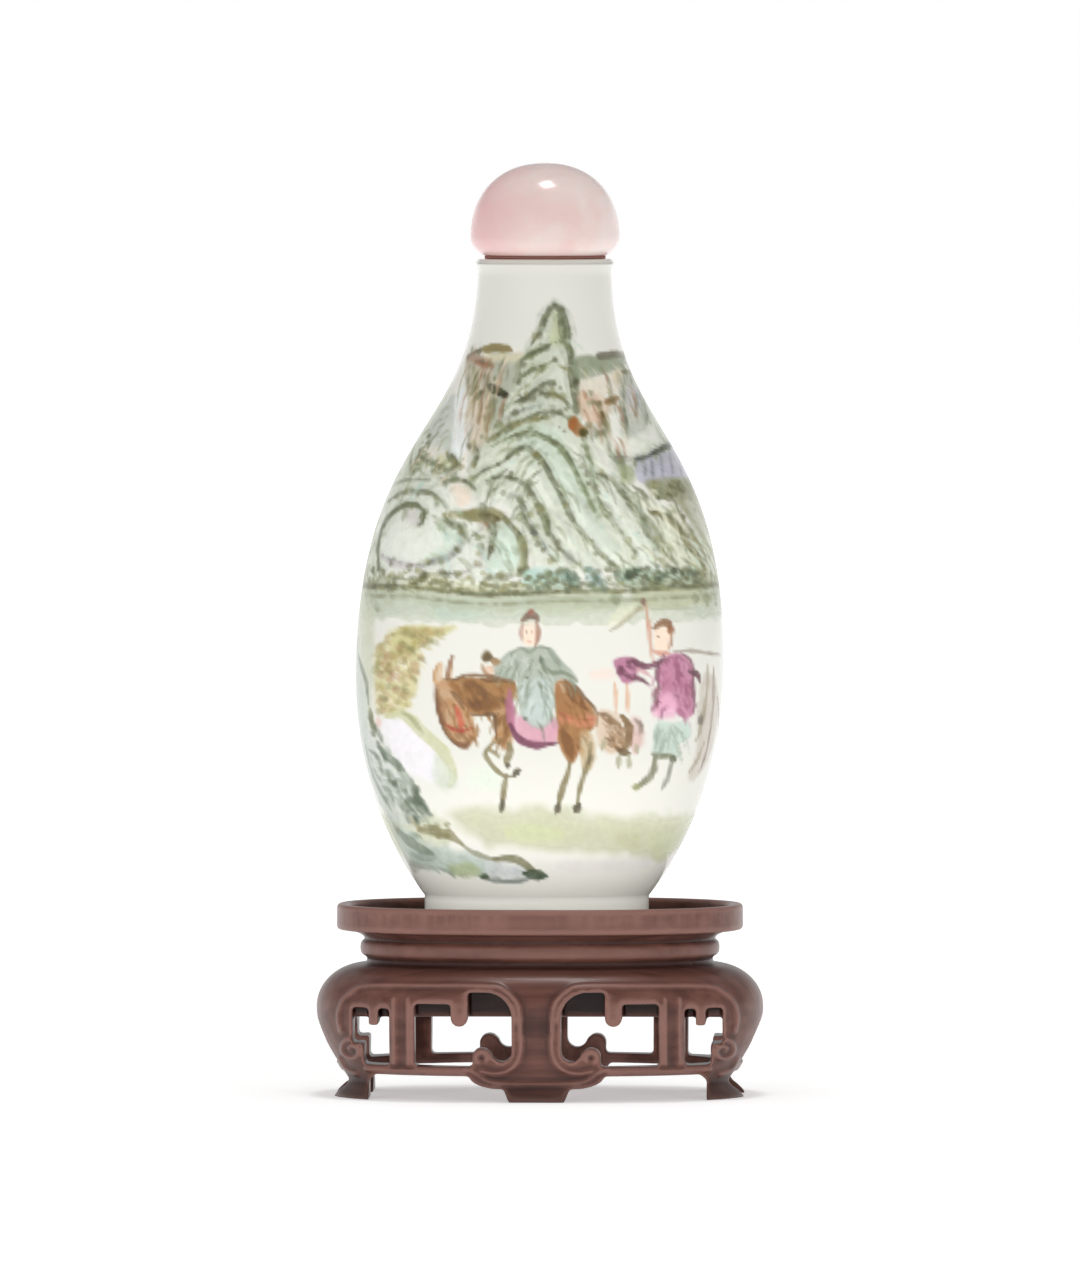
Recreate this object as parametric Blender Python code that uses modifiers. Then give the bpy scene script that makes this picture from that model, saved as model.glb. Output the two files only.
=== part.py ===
"""Snuff bottle on a carved hardwood stand: porcelain bottle, cork, stone stopper cap and one-piece stand.

Units are metres, +Z is up, the painted front faces -Y and the width runs along X. The origin is the middle of
the stand's footprint, on the surface that it stands on.
"""

import math

import bmesh
import bpy
from mathutils import Vector
from mathutils.geometry import interpolate_bezier

# Meshes that rest on each other keep this clearance
GAP = 0.0003

# Stand, overall: the widest part of the apron, and the plan's squareness (2 is an ellipse)
STAND_WIDTH = 0.0420
STAND_DEPTH = 0.0288
STAND_SQUARENESS = 2.4
STAND_SIDES = 56

# Stand, heights of its parts from the ground up
APRON_HEIGHT = 0.0124
COVE_HEIGHT = 0.0008
BEAD_HEIGHT = 0.0014
CAVETTO_HEIGHT = 0.0010
RIM_HEIGHT = 0.0024
BEAD_ROUNDNESS = 0.6

# Stand, how far its profile stands in from the apron's swell
RIM_INSET = 0.0019
BEAD_INSET = 0.0041
WAIST_INSET = 0.0046
ANKLE_INSET = 0.0026
TOE_INSET = 0.0015
SWELL_AT = 0.0084
ANKLE_AT = 0.0017
TOE_HEIGHT = 0.0012

# Stand, tray and the hollow under it
TRAY_LIP = 0.0013
TRAY_DEPTH = 0.0014
LEG_WALL = 0.0021
HOLLOW_SQUARENESS = 2.0
CORE_UNDERSIDE = 0.0077

# Stand, piercings of the front and back aprons, from the middle outwards; a wide one is less wide at the back
MIDDLE_POST = 0.0046
WIDE_OPENING = 0.0091
WIDE_BACK_OPENING = 0.0082
SIDE_POST = 0.0024
NARROW_OPENING = 0.0035
RAIL_UNDERSIDE = 0.0024
RAIL_HEIGHT = 0.0009
WIDE_TOP = 0.0103
WIDE_STEP = 0.0011
NARROW_TOP = 0.0087
TOP_ROUND = 0.0024
HOOK_AT = 0.0049
HOOK_WIDTH = 0.0016
HOOK_DROP = 0.0032
SCROLL_AT = 0.0028
SCROLL_ROUND = 0.0009
SCROLL_RISE = 0.0018
SCROLL_DIP = 0.0005
TOOTH_AT = 0.0015
TOOTH_WIDTH = 0.0009
TOOTH_DROP = 0.0006
FRET_WIDTH = 0.0011
FRET_RISE = 0.0020

# Stand, pendant feet at front and back, corner legs, and the opening and gap in each end
PENDANT_BOWL = 0.0126
PENDANT_NECK = 0.0062
PENDANT_TOE = 0.0052
PENDANT_NECK_AT = 0.0012
LEG_INNER = 0.0015
END_GAP = 0.0056
END_ANKLE = 0.0013
END_OPENING = 0.0068
END_TOP = 0.0074

# Bottle, outside
BOTTLE_HEIGHT = 0.0617
BODY_WIDTH = 0.0346
BODY_DEPTH = 0.0232
BODY_SQUARENESS = 2.2
WIDEST_AT = 0.0229
NECK_WIDTH = 0.0125
LIP_FLARE = 0.0002
LEAN = 0.0008
LEAN_PIVOT = 0.4
SHOULDER_FULLNESS = 1.35
BOTTLE_SIDES = 40

# Bottle, how far the outline's curves pull on their ends, as shares of their width and height
FOOT_SLANT = 0.2
FOOT_PULL = 0.08
BELLY_PULL = 0.56
SHOULDER_PULL = 0.615
NECK_PULL = 0.43

# Bottle, foot, walls and mouth
FOOT_WIDTH = 0.0211
FOOT_DEPTH = 0.0140
FOOT_HEIGHT = 0.0019
FOOT_RING = 0.0017
FOOT_RECESS = 0.0012
BODY_WALL = 0.0022
MOUTH_BORE = 0.0070
EDGE_ROUND = 0.0004

# Stopper
CAP_WIDTH = 0.0140
CAP_HEIGHT = 0.0087
CAP_SWELL_AT = 0.0017
CAP_SQUARENESS = 2.2
CAP_UNDERCUT = 0.0027
CAP_SIDES = 36
CORK_LENGTH = 0.0050
CORK_TAPER = 0.0003
CORK_SIDES = 32

# Looks: colour and roughness
WOOD = ((0.085, 0.035, 0.028), 0.38)
GLAZE = ((0.80, 0.80, 0.76), 0.12)
STONE = ((0.78, 0.55, 0.50), 0.3)
CORK = ((0.16, 0.07, 0.045), 0.85)
SHARP_ANGLE = math.radians(35)

STAND_HEIGHT = APRON_HEIGHT + COVE_HEIGHT + BEAD_HEIGHT + CAVETTO_HEIGHT + RIM_HEIGHT
TRAY_FLOOR = STAND_HEIGHT - TRAY_DEPTH
BOTTLE_BASE = TRAY_FLOOR + GAP
BOTTLE_TOP = BOTTLE_BASE + BOTTLE_HEIGHT


def clear_scene():
    for old in list(bpy.data.objects):
        bpy.data.objects.remove(old, do_unlink=True)


def collection(name):
    made = bpy.data.collections.new(name)
    bpy.context.scene.collection.children.link(made)
    return made


def material(name, colour, roughness, metallic=0.0):
    made = bpy.data.materials.new(name)
    made.use_nodes = True
    shader = made.node_tree.nodes["Principled BSDF"]
    shader.inputs["Base Color"].default_value = (*colour, 1.0)
    shader.inputs["Roughness"].default_value = roughness
    shader.inputs["Metallic"].default_value = metallic
    return made


def sweep_curve(start, start_pull, end_pull, end, steps):
    """Points of one cubic curve from start to end, without its last point. A pull is a handle's offset."""
    start, end = Vector(start), Vector(end)
    points = interpolate_bezier(start, start + Vector(start_pull), end + Vector(end_pull), end, steps + 1)
    return [tuple(point[:2]) for point in points[:-1]]


def quarter(start, end, steps, sideways=False):
    """Points of a quarter ellipse between two points, without the last. It leaves start upright or sideways."""
    (r0, z0), (r1, z1) = start, end
    points = []
    for step in range(steps):
        turn = 0.5 * math.pi * step / steps
        across, along = 1 - math.cos(turn), math.sin(turn)
        if sideways:
            across, along = math.sin(turn), 1 - math.cos(turn)
        points.append((r0 + (r1 - r0) * across, z0 + (z1 - z0) * along))
    return points


def oval(half_width, half_depth, height, squareness, sides, centre=0.0):
    """A level ring of points on a superellipse."""
    ring = []
    for side in range(sides):
        turn = 2 * math.pi * side / sides
        c, s = math.cos(turn), math.sin(turn)
        reach = (abs(c) ** squareness + abs(s) ** squareness) ** (-1 / squareness)
        ring.append(Vector((centre + half_width * reach * c, half_depth * reach * s, height)))
    return ring


def loft(name, rings, look, where):
    """One closed solid through rings of equal count, with a flat cap on the first and the last."""
    build = bmesh.new()
    rows = [[build.verts.new(point) for point in ring] for ring in rings]
    for low, high in zip(rows, rows[1:]):
        for side in range(len(low)):
            after = (side + 1) % len(low)
            build.faces.new((low[side], low[after], high[after], high[side]))
    build.faces.new(rows[0])
    build.faces.new(rows[-1])
    bmesh.ops.recalc_face_normals(build, faces=build.faces)
    mesh = bpy.data.meshes.new(name)
    build.to_mesh(mesh)
    build.free()
    return place(name, mesh, look, where)


def place(name, mesh, look, where):
    made = bpy.data.objects.new(name, mesh)
    where.objects.link(made)
    if look:
        mesh.materials.append(look)
        mesh.shade_smooth()
        mesh.set_sharp_from_angle(angle=SHARP_ANGLE)
    return made


def hide_cutter(cutter):
    cutter.hide_render = True
    cutter.display_type = "WIRE"


def arc(centre, radius, start, end, steps):
    """Points of a round stretch, from the start to the end angle in degrees, both included."""
    points = []
    for step in range(steps + 1):
        turn = math.radians(start + (end - start) * step / steps)
        points.append((centre[0] + radius * math.cos(turn), centre[1] + radius * math.sin(turn)))
    return points


def prism(name, outline, near, far, where, along="Y", mirrored=False):
    """A cutter with a flat outline of (across, height) points, from near to far along Y or X."""
    curve = bpy.data.curves.new(name, "CURVE")
    curve.dimensions = "2D"
    curve.fill_mode = "BOTH"
    curve.extrude = abs(far - near) / 2
    spline = curve.splines.new("POLY")
    spline.points.add(len(outline) - 1)
    side = -1 if mirrored else 1
    for point, (across, height) in zip(spline.points, outline):
        point.co = (side * across, height, 0, 1)
    spline.use_cyclic_u = True
    outline_object = bpy.data.objects.new(name, curve)
    where.objects.link(outline_object)
    middle = (near + far) / 2
    outline_object.rotation_euler = (math.pi / 2, 0, 0 if along == "Y" else math.pi / 2)
    outline_object.location = (0, middle, 0) if along == "Y" else (middle, 0, 0)
    bpy.context.view_layer.update()
    evaluated = outline_object.evaluated_get(bpy.context.evaluated_depsgraph_get())
    mesh = bpy.data.meshes.new_from_object(evaluated)
    build = bmesh.new()
    build.from_mesh(mesh)
    bmesh.ops.remove_doubles(build, verts=build.verts, dist=1e-7)
    bmesh.ops.recalc_face_normals(build, faces=build.faces)
    build.to_mesh(mesh)
    build.free()
    cutter = bpy.data.objects.new(name, mesh)
    where.objects.link(cutter)
    cutter.matrix_world = outline_object.matrix_world
    bpy.data.objects.remove(outline_object, do_unlink=True)
    hide_cutter(cutter)
    return cutter


def stand_profile():
    """(distance in from the apron's swell, height) from the tray's lip down to the toe."""
    rim_under = STAND_HEIGHT - RIM_HEIGHT
    bead_top = rim_under - CAVETTO_HEIGHT
    bead_under = bead_top - BEAD_HEIGHT
    soft = RIM_HEIGHT / 8
    profile = [(RIM_INSET + soft, STAND_HEIGHT), (RIM_INSET, STAND_HEIGHT - soft)]
    profile.append((RIM_INSET, rim_under + soft))
    profile += quarter((RIM_INSET + soft, rim_under), (WAIST_INSET, bead_top), 4, sideways=True)
    bead_middle = (bead_top + bead_under) / 2
    for step in range(5):
        turn = math.pi * step / 4
        out = (WAIST_INSET - BEAD_INSET) * abs(math.sin(turn)) ** BEAD_ROUNDNESS
        profile.append((WAIST_INSET - out, bead_middle + BEAD_HEIGHT / 2 * math.cos(turn)))
    profile.append((WAIST_INSET + COVE_HEIGHT / 4, (bead_under + APRON_HEIGHT) / 2))
    profile += quarter((WAIST_INSET, APRON_HEIGHT), (0, SWELL_AT), 7, sideways=True)
    fall = SWELL_AT - ANKLE_AT
    above_ankle = (-ANKLE_INSET / 5, fall / 4)
    profile += sweep_curve((0, SWELL_AT), (0, -fall / 2), above_ankle, (ANKLE_INSET, ANKLE_AT), 6)
    pull = ANKLE_AT / 3
    profile += sweep_curve((ANKLE_INSET, ANKLE_AT), (0, -pull), (0, pull), (TOE_INSET, 0), 3)
    return profile + [(TOE_INSET, 0)]


def stand_ring(inset, height):
    """The stand's plan at one height, stood in from the swell by the same share along X and Y."""
    across = STAND_WIDTH / 2 - inset
    return oval(across, across * STAND_DEPTH / STAND_WIDTH, height, STAND_SQUARENESS, STAND_SIDES)


def hollow_size(height):
    """(half width, half depth) of the hollow under the stand, a little wider upwards."""
    across = STAND_WIDTH / 2 - ANKLE_INSET
    widen = LEG_WALL / 2 * max(height, 0) / CORE_UNDERSIDE
    return across - LEG_WALL + widen, across * STAND_DEPTH / STAND_WIDTH - LEG_WALL + widen


def wide_opening_outline(width):
    """A scroll on the rail, a hook that hangs from the top, and a top that steps down beyond the hook."""
    inner = MIDDLE_POST / 2
    outer, outer_top = inner + width, WIDE_TOP - WIDE_STEP
    rail = RAIL_UNDERSIDE + RAIL_HEIGHT
    scroll = (inner + SCROLL_AT, rail + SCROLL_RISE - SCROLL_ROUND)
    dip = (scroll[0] - SCROLL_ROUND - inner) / 2
    hook, tip = inner + HOOK_AT, WIDE_TOP - HOOK_DROP
    half = HOOK_WIDTH / 2
    outline = arc((inner + dip, rail + SCROLL_DIP + dip), dip, 180, 360, 6)
    outline += arc(scroll, SCROLL_ROUND, 180, -20, 6)
    outline += [(scroll[0] + SCROLL_ROUND, rail), (outer, rail), (outer, outer_top), (hook + half, outer_top)]
    outline += arc((hook, tip + half), half, 0, -180, 4)
    outline += [(hook - half, WIDE_TOP)]
    outline += arc((inner + TOP_ROUND, WIDE_TOP - TOP_ROUND), TOP_ROUND, 90, 180, 5)
    return outline


def narrow_opening_outline(top):
    """A tooth that hangs from the top and a square fret in the bottom outer corner."""
    inner = MIDDLE_POST / 2 + WIDE_OPENING + SIDE_POST
    outer = inner + NARROW_OPENING
    rail = RAIL_UNDERSIDE + RAIL_HEIGHT
    fret = [(outer - FRET_WIDTH, rail), (outer - FRET_WIDTH, rail + FRET_RISE), (outer, rail + FRET_RISE)]
    left, right = inner + TOOTH_AT - TOOTH_WIDTH / 2, inner + TOOTH_AT + TOOTH_WIDTH / 2
    tip = CORE_UNDERSIDE - TOOTH_DROP
    tooth = [(right, top), (right, tip), (left, tip), (left, top)]
    return [(inner, rail), *fret, (outer, top), *tooth, (inner, top)]


def under_rail_outline():
    """The gap between the pendant foot and a corner leg, open at the ground."""
    leg = MIDDLE_POST / 2 + WIDE_OPENING + SIDE_POST + NARROW_OPENING - LEG_INNER
    neck, bowl = PENDANT_NECK / 2, PENDANT_BOWL / 2
    below = -RAIL_UNDERSIDE
    rise = RAIL_UNDERSIDE - PENDANT_NECK_AT
    outline = [(PENDANT_TOE / 2, below), (PENDANT_TOE / 2, 0), (neck, PENDANT_NECK_AT)]
    outline += quarter((neck + rise / 4, PENDANT_NECK_AT), (bowl, RAIL_UNDERSIDE), 5, sideways=True)
    outline += [(bowl, RAIL_UNDERSIDE), (leg - rise / 2, RAIL_UNDERSIDE), (leg, RAIL_UNDERSIDE - rise / 2)]
    return outline + [(leg, 0), (leg, below)]


def end_opening_outline():
    rail = RAIL_UNDERSIDE + RAIL_HEIGHT
    half = END_OPENING / 2
    spring = (rail + END_TOP) / 2
    left = quarter((-half, spring), (0, END_TOP), 5)
    right = [(-across, height) for across, height in reversed(left)]
    return [(-half, rail), *left, (0, END_TOP), *right, (half, rail)]


def end_gap_outline():
    """The gap between the two legs of an end, wider at the ankles than at the toes."""
    toe, ankle = END_GAP / 2, END_GAP / 2 + END_ANKLE
    right = [(toe, -RAIL_UNDERSIDE), (toe, 0), (ankle, TOE_HEIGHT), (ankle, ANKLE_AT)]
    right += [(ankle - END_ANKLE / 2, RAIL_UNDERSIDE)]
    return right + [(-across, height) for across, height in reversed(right)]


def make_stand(parts, cutters):
    lip = TRAY_LIP + RIM_INSET
    soft = TRAY_DEPTH / 5
    rings = [
        stand_ring(lip + soft, TRAY_FLOOR),
        stand_ring(lip, TRAY_FLOOR + soft),
        stand_ring(lip, STAND_HEIGHT - soft),
        stand_ring(lip - soft, STAND_HEIGHT),
    ]
    rings += [stand_ring(inset, height) for inset, height in stand_profile()]
    stand = loft("wood_stand", rings, material("polished_hardwood", *WOOD), parts)

    levels = (-RAIL_UNDERSIDE, CORE_UNDERSIDE)
    hollow_rings = [oval(*hollow_size(level), level, HOLLOW_SQUARENESS, STAND_SIDES) for level in levels]
    hide_cutter(loft("hollow_cutter", hollow_rings, None, cutters))

    beyond = STAND_DEPTH
    hollow_width, hollow_depth = hollow_size(0)
    reach = (MIDDLE_POST / 2 + WIDE_OPENING) / hollow_width
    past_wall = hollow_depth * (1 - reach**HOLLOW_SQUARENESS) ** (1 / HOLLOW_SQUARENESS)
    faces = (("front", -beyond, -past_wall, WIDE_OPENING), ("back", past_wall, beyond, WIDE_BACK_OPENING))
    tunnel = narrow_opening_outline(CORE_UNDERSIDE)
    for mirrored in (False, True):
        hand = "left" if mirrored else "right"
        for face, near, far, width in faces:
            wide, narrow = wide_opening_outline(width), narrow_opening_outline(NARROW_TOP)
            prism(f"wide_{face}_{hand}_cutter", wide, near, far, cutters, mirrored=mirrored)
            prism(f"narrow_{face}_{hand}_cutter", narrow, near, far, cutters, mirrored=mirrored)
        prism(f"tunnel_{hand}_cutter", tunnel, -beyond, beyond, cutters, mirrored=mirrored)
        prism(f"under_rail_{hand}_cutter", under_rail_outline(), -beyond, beyond, cutters, mirrored=mirrored)
    prism("end_opening_cutter", end_opening_outline(), -STAND_WIDTH, STAND_WIDTH, cutters, along="X")
    prism("end_gap_cutter", end_gap_outline(), -STAND_WIDTH, STAND_WIDTH, cutters, along="X")

    carve = stand.modifiers.new("carve", "BOOLEAN")
    carve.operation = "DIFFERENCE"
    carve.operand_type = "COLLECTION"
    carve.collection = cutters
    carve.solver = "EXACT"
    return stand


def bottle_profile():
    """(half width, height above the foot) of the outside, from the foot's edge up to the lip."""
    foot = FOOT_WIDTH / 2
    body = BODY_WIDTH / 2
    neck = NECK_WIDTH / 2
    profile = [(foot - EDGE_ROUND / 2, 0), (foot, EDGE_ROUND / 2)]
    rise = WIDEST_AT - FOOT_HEIGHT
    slant = (FOOT_SLANT * (body - foot), FOOT_PULL * rise)
    profile += sweep_curve((foot, FOOT_HEIGHT), slant, (0, -BELLY_PULL * rise), (body, WIDEST_AT), 9)
    top = BOTTLE_HEIGHT - EDGE_ROUND
    climb = top - WIDEST_AT
    shoulder, narrowing = (0, SHOULDER_PULL * climb), (0, -NECK_PULL * climb)
    profile += sweep_curve((body, WIDEST_AT), shoulder, narrowing, (neck, top), 16)
    return profile + [(neck + LIP_FLARE, top), (neck - EDGE_ROUND, BOTTLE_HEIGHT)]


def section_of(half_width, height):
    """(half depth, squareness) of the section: round at the neck, flattened at the body, oval at the foot."""
    neck, body, foot = NECK_WIDTH / 2, BODY_WIDTH / 2, FOOT_WIDTH / 2
    share = min(max((half_width - neck) / (body - neck), 0), 1)
    if height < WIDEST_AT:
        from_foot = (half_width - foot) / (body - foot)
        half_depth = FOOT_DEPTH / 2 + (BODY_DEPTH - FOOT_DEPTH) / 2 * from_foot
    else:
        half_depth = neck + (BODY_DEPTH / 2 - neck) * (1 - (1 - share) ** SHOULDER_FULLNESS)
    return half_depth, 2 + (BODY_SQUARENESS - 2) * share


def make_bottle(parts):
    neck, bore, body = NECK_WIDTH / 2, MOUTH_BORE / 2, BODY_WIDTH / 2
    floor = FOOT_RECESS + BODY_WALL

    def ring(half_width, half_depth, height, squareness=2.0):
        centre = LEAN * (height / BOTTLE_HEIGHT - LEAN_PIVOT)
        return oval(half_width, half_depth, BOTTLE_BASE + height, squareness, BOTTLE_SIDES, centre)

    outside, inside = [], []
    for half_width, height in bottle_profile():
        half_depth, squareness = section_of(half_width, height)
        outside.append(ring(half_width, half_depth, height, squareness))
        share = min(max((half_width - neck) / (body - neck), 0), 1)
        wall = (neck - bore) + (BODY_WALL - (neck - bore)) * share
        if floor + BODY_WALL / 2 < height < BOTTLE_HEIGHT - 2 * EDGE_ROUND:
            inside.append(ring(half_width - wall, half_depth - wall, height, squareness))
    floor_ring = ring(FOOT_WIDTH / 2 - BODY_WALL, FOOT_DEPTH / 2 - BODY_WALL, floor)
    lip = bore + EDGE_ROUND
    mouth = [ring(bore, bore, BOTTLE_HEIGHT - EDGE_ROUND), ring(lip, lip, BOTTLE_HEIGHT)]

    ring_width, ring_depth = FOOT_WIDTH / 2 - FOOT_RING, FOOT_DEPTH / 2 - FOOT_RING
    underside = [
        ring(ring_width + EDGE_ROUND / 2, ring_depth + EDGE_ROUND / 2, 0),
        ring(ring_width, ring_depth, EDGE_ROUND / 2),
        ring(ring_width - EDGE_ROUND, ring_depth - EDGE_ROUND, FOOT_RECESS),
    ]
    rings = [floor_ring, *inside[::2], *mouth, *reversed(outside), *underside]
    return loft("porcelain_bottle", rings, material("glazed_porcelain", *GLAZE), parts)


def make_cap(parts):
    """A turned dome with a flat underside, its profile run round the bottle's axis at the mouth."""
    radius = CAP_WIDTH / 2
    dome = CAP_HEIGHT - CAP_SWELL_AT
    base = BOTTLE_TOP + GAP
    profile = [(0, base + CAP_HEIGHT)]
    for step in range(1, 9):
        turn = 0.5 * math.pi * step / 8
        c, s = math.cos(turn), math.sin(turn)
        reach = (c**CAP_SQUARENESS + s**CAP_SQUARENESS) ** (-1 / CAP_SQUARENESS)
        profile.append((radius * reach * s, base + CAP_SWELL_AT + dome * reach * c))
    for step in range(1, 4):
        drop = CAP_SWELL_AT * step / 3
        inward = (1 - (drop / CAP_UNDERCUT) ** CAP_SQUARENESS) ** (1 / CAP_SQUARENESS)
        profile.append((radius * inward, base + CAP_SWELL_AT - drop))
    profile.append((0, base))
    mesh = bpy.data.meshes.new("stopper_cap")
    mesh.from_pydata([(r, 0, z) for r, z in profile], [(i, i + 1) for i in range(len(profile) - 1)], [])
    cap = bpy.data.objects.new("stopper_cap", mesh)
    parts.objects.link(cap)
    cap.location.x = LEAN * (1 - LEAN_PIVOT)
    mesh.materials.append(material("pink_stone", *STONE))
    turned = cap.modifiers.new("turned", "SCREW")
    turned.steps = turned.render_steps = CAP_SIDES
    turned.use_merge_vertices = True
    turned.merge_threshold = 0.00001
    turned.use_smooth_shade = True
    return cap


def make_cork(parts):
    radius = MOUTH_BORE / 2 - GAP
    bpy.ops.mesh.primitive_cone_add(
        vertices=CORK_SIDES,
        radius1=radius - CORK_TAPER,
        radius2=radius,
        depth=CORK_LENGTH,
        end_fill_type="NGON",
    )
    cork = bpy.context.object
    cork.name = cork.data.name = "stopper_cork"
    cork.location = (LEAN * (1 - LEAN_PIVOT), 0, BOTTLE_TOP - CORK_LENGTH / 2)
    for owner in list(cork.users_collection):
        owner.objects.unlink(cork)
    parts.objects.link(cork)
    cork.data.materials.append(material("cork", *CORK))
    cork.data.shade_smooth()
    cork.data.set_sharp_from_angle(angle=SHARP_ANGLE)
    return cork


clear_scene()
bottle_parts = collection("snuff_bottle")
stand_cutters = collection("stand_cutters")
make_stand(bottle_parts, stand_cutters)
make_bottle(bottle_parts)
make_cork(bottle_parts)
make_cap(bottle_parts)
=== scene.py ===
"""Looks of the snuff bottle: painted porcelain, pink stone stopper on a cork, and a carved hardwood stand.

Lengths are in metres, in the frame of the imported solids. The painting alone is laid out in millimetres: across
from the middle of the face that it is on, and up from the bottle's foot.
"""

import math

import bmesh
import bpy
import numpy as np
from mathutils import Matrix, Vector
from mathutils.geometry import interpolate_bezier


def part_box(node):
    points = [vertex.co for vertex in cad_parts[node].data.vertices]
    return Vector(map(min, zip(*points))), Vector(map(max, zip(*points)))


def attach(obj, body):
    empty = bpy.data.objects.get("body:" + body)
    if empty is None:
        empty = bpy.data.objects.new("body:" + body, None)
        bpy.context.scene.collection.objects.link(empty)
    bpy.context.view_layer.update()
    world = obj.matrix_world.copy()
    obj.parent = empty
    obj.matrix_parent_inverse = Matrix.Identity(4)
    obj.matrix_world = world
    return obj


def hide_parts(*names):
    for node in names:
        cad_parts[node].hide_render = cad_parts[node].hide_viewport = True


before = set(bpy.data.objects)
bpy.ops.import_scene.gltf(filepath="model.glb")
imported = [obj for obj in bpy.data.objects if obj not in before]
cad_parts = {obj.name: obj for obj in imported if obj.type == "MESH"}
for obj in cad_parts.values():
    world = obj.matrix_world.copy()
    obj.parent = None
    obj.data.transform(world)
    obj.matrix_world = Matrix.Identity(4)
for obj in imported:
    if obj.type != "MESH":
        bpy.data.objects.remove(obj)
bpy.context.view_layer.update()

# Porcelain bottle.
# A hollow flattened pear of white glazed porcelain on an oval foot ring, walls about 2 mm.
# It stands loose in the stand's tray and leans a touch to the right.
foot_low, foot_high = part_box("porcelain_bottle")
base_z = foot_low.z
bottle_height = foot_high.z - base_z
body_half, body_deep = (foot_high.x - foot_low.x) / 2, (foot_high.y - foot_low.y) / 2
foot_half, foot_deep, foot_rise = 0.01055, 0.0070, 0.0019
neck_half, lip_flare, mouth_half = 0.00625, 0.0002, 0.0035
widest_at, body_wall, recess, ring_width = 0.0229, 0.0022, 0.0012, 0.0017
round_edge = 0.0004
body_squareness = 2.2
lean, lean_pivot = 0.0008, 0.4
painted_from, painted_to, painted_rings = 0.0030, 0.0585, 282


def bezier(start, start_pull, end_pull, end, steps):
    """Points of one cubic curve without its last point. A pull is the handle's offset from its end."""
    start, end = Vector(start), Vector(end)
    points = interpolate_bezier(start, start + Vector(start_pull), end + Vector(end_pull), end, steps + 1)
    return [(point[0], point[1]) for point in points[:-1]]


def body_share(half_width):
    """0 at the neck's width, 1 at the body's."""
    return min(max((half_width - neck_half) / (body_half - neck_half), 0), 1)


def half_depth_of(half_width, height):
    """Round at the neck, flattened at the body and oval at the foot."""
    if height < widest_at:
        return foot_deep + (body_deep - foot_deep) * (half_width - foot_half) / (body_half - foot_half)
    return neck_half + (body_deep - neck_half) * (1 - (1 - body_share(half_width)) ** 1.35)


def outer_profile(low_steps, high_steps):
    """(half width, height above the foot) from the foot up to the lip."""
    rise = widest_at - foot_rise
    slant = (0.2 * (body_half - foot_half), 0.08 * rise)
    low = bezier((foot_half, foot_rise), slant, (0, -0.56 * rise), (body_half, widest_at), low_steps)
    top = bottle_height - round_edge
    climb = top - widest_at
    high = bezier((body_half, widest_at), (0, 0.615 * climb), (0, -0.43 * climb), (neck_half, top),
        high_steps)
    return low + high


def bottle_rings():
    """((half width, half depth, height), squareness, middle) of each ring, and where the outside starts and ends."""
    floor = recess + body_wall
    points = [(0, 0, floor), (0.6 * (foot_half - body_wall), 0.6 * (foot_deep - body_wall), floor)]
    points.append((foot_half - body_wall, foot_deep - body_wall, floor + round_edge / 2))
    for half_width, height in outer_profile(7, 9)[2:]:
        share = body_share(half_width)
        wall = (neck_half - mouth_half) * (1 - share) + body_wall * share
        points.append((half_width - wall, half_depth_of(half_width, height) - wall, height))
    for step in range(5):
        turn = 0.5 * math.pi * step / 4
        radius = mouth_half + round_edge * (1 - math.cos(turn))
        points.append((radius, radius, bottle_height - round_edge * (1 - math.sin(turn))))
    for step in range(5):
        turn = 0.5 * math.pi * step / 4
        radius = neck_half + lip_flare - round_edge * (1 - math.sin(turn))
        points.append((radius, radius, bottle_height - round_edge * (1 - math.cos(turn))))
    outside_from = len(points)
    outline = np.array(outer_profile(400, 600))
    painted = np.linspace(painted_from, painted_to, painted_rings)
    below = np.linspace(foot_rise, painted_from, 9, endpoint=False)
    above = np.linspace(painted_to, bottle_height - round_edge, 14)[1:]
    heights = np.concatenate([below, painted, above])[::-1]
    for half_width, height in zip(np.interp(heights, outline[:, 1], outline[:, 0]), heights):
        below_lip = (bottle_height - round_edge - height) / (3 * round_edge)
        flare = lip_flare * max(0, 1 - below_lip) ** 2
        points.append((half_width + flare, half_depth_of(half_width, height) + flare, height))
    points += [(foot_half, foot_deep, foot_rise * share) for share in (0.8, 0.6, 0.4, 0.2)]
    outside_to = len(points)
    for step in range(1, 4):
        turn = 0.5 * math.pi * step / 3
        inset = round_edge / 2 * (1 - math.cos(turn))
        points.append((foot_half - inset, foot_deep - inset, round_edge / 2 * (1 - math.sin(turn))))
    inner, inner_deep, soft = foot_half - ring_width, foot_deep - ring_width, round_edge / 2
    points += [(inner + soft, inner_deep + soft, 0), (inner, inner_deep, soft)]
    points += [(inner - soft, inner_deep - soft, recess), (inner / 2, inner_deep / 2, recess), (0, 0, recess)]
    rings = []
    for half_width, half_deep, height in points:
        squareness = 2 + (body_squareness - 2) * body_share(half_width)
        middle = lean * (height / bottle_height - lean_pivot)
        rings.append(((half_width, half_deep, base_z + height), squareness, middle))
    return rings, outside_from, outside_to


def add_node(tree, kind, links=None, **settings):
    """A node with its settings made and its inputs linked or filled, by socket name or number."""
    node = tree.nodes.new(kind)
    for setting, value in settings.items():
        setattr(node, setting, value)
    for socket, value in (links or {}).items():
        if isinstance(value, bpy.types.NodeSocket):
            tree.links.new(value, node.inputs[socket])
        else:
            node.inputs[socket].default_value = value
    return node


def calc(tree, operation, first, second=0.0, third=0.0):
    """One sum, as the socket that carries its result."""
    return add_node(tree, "ShaderNodeMath", {0: first, 1: second, 2: third}, operation=operation).outputs[0]


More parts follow.
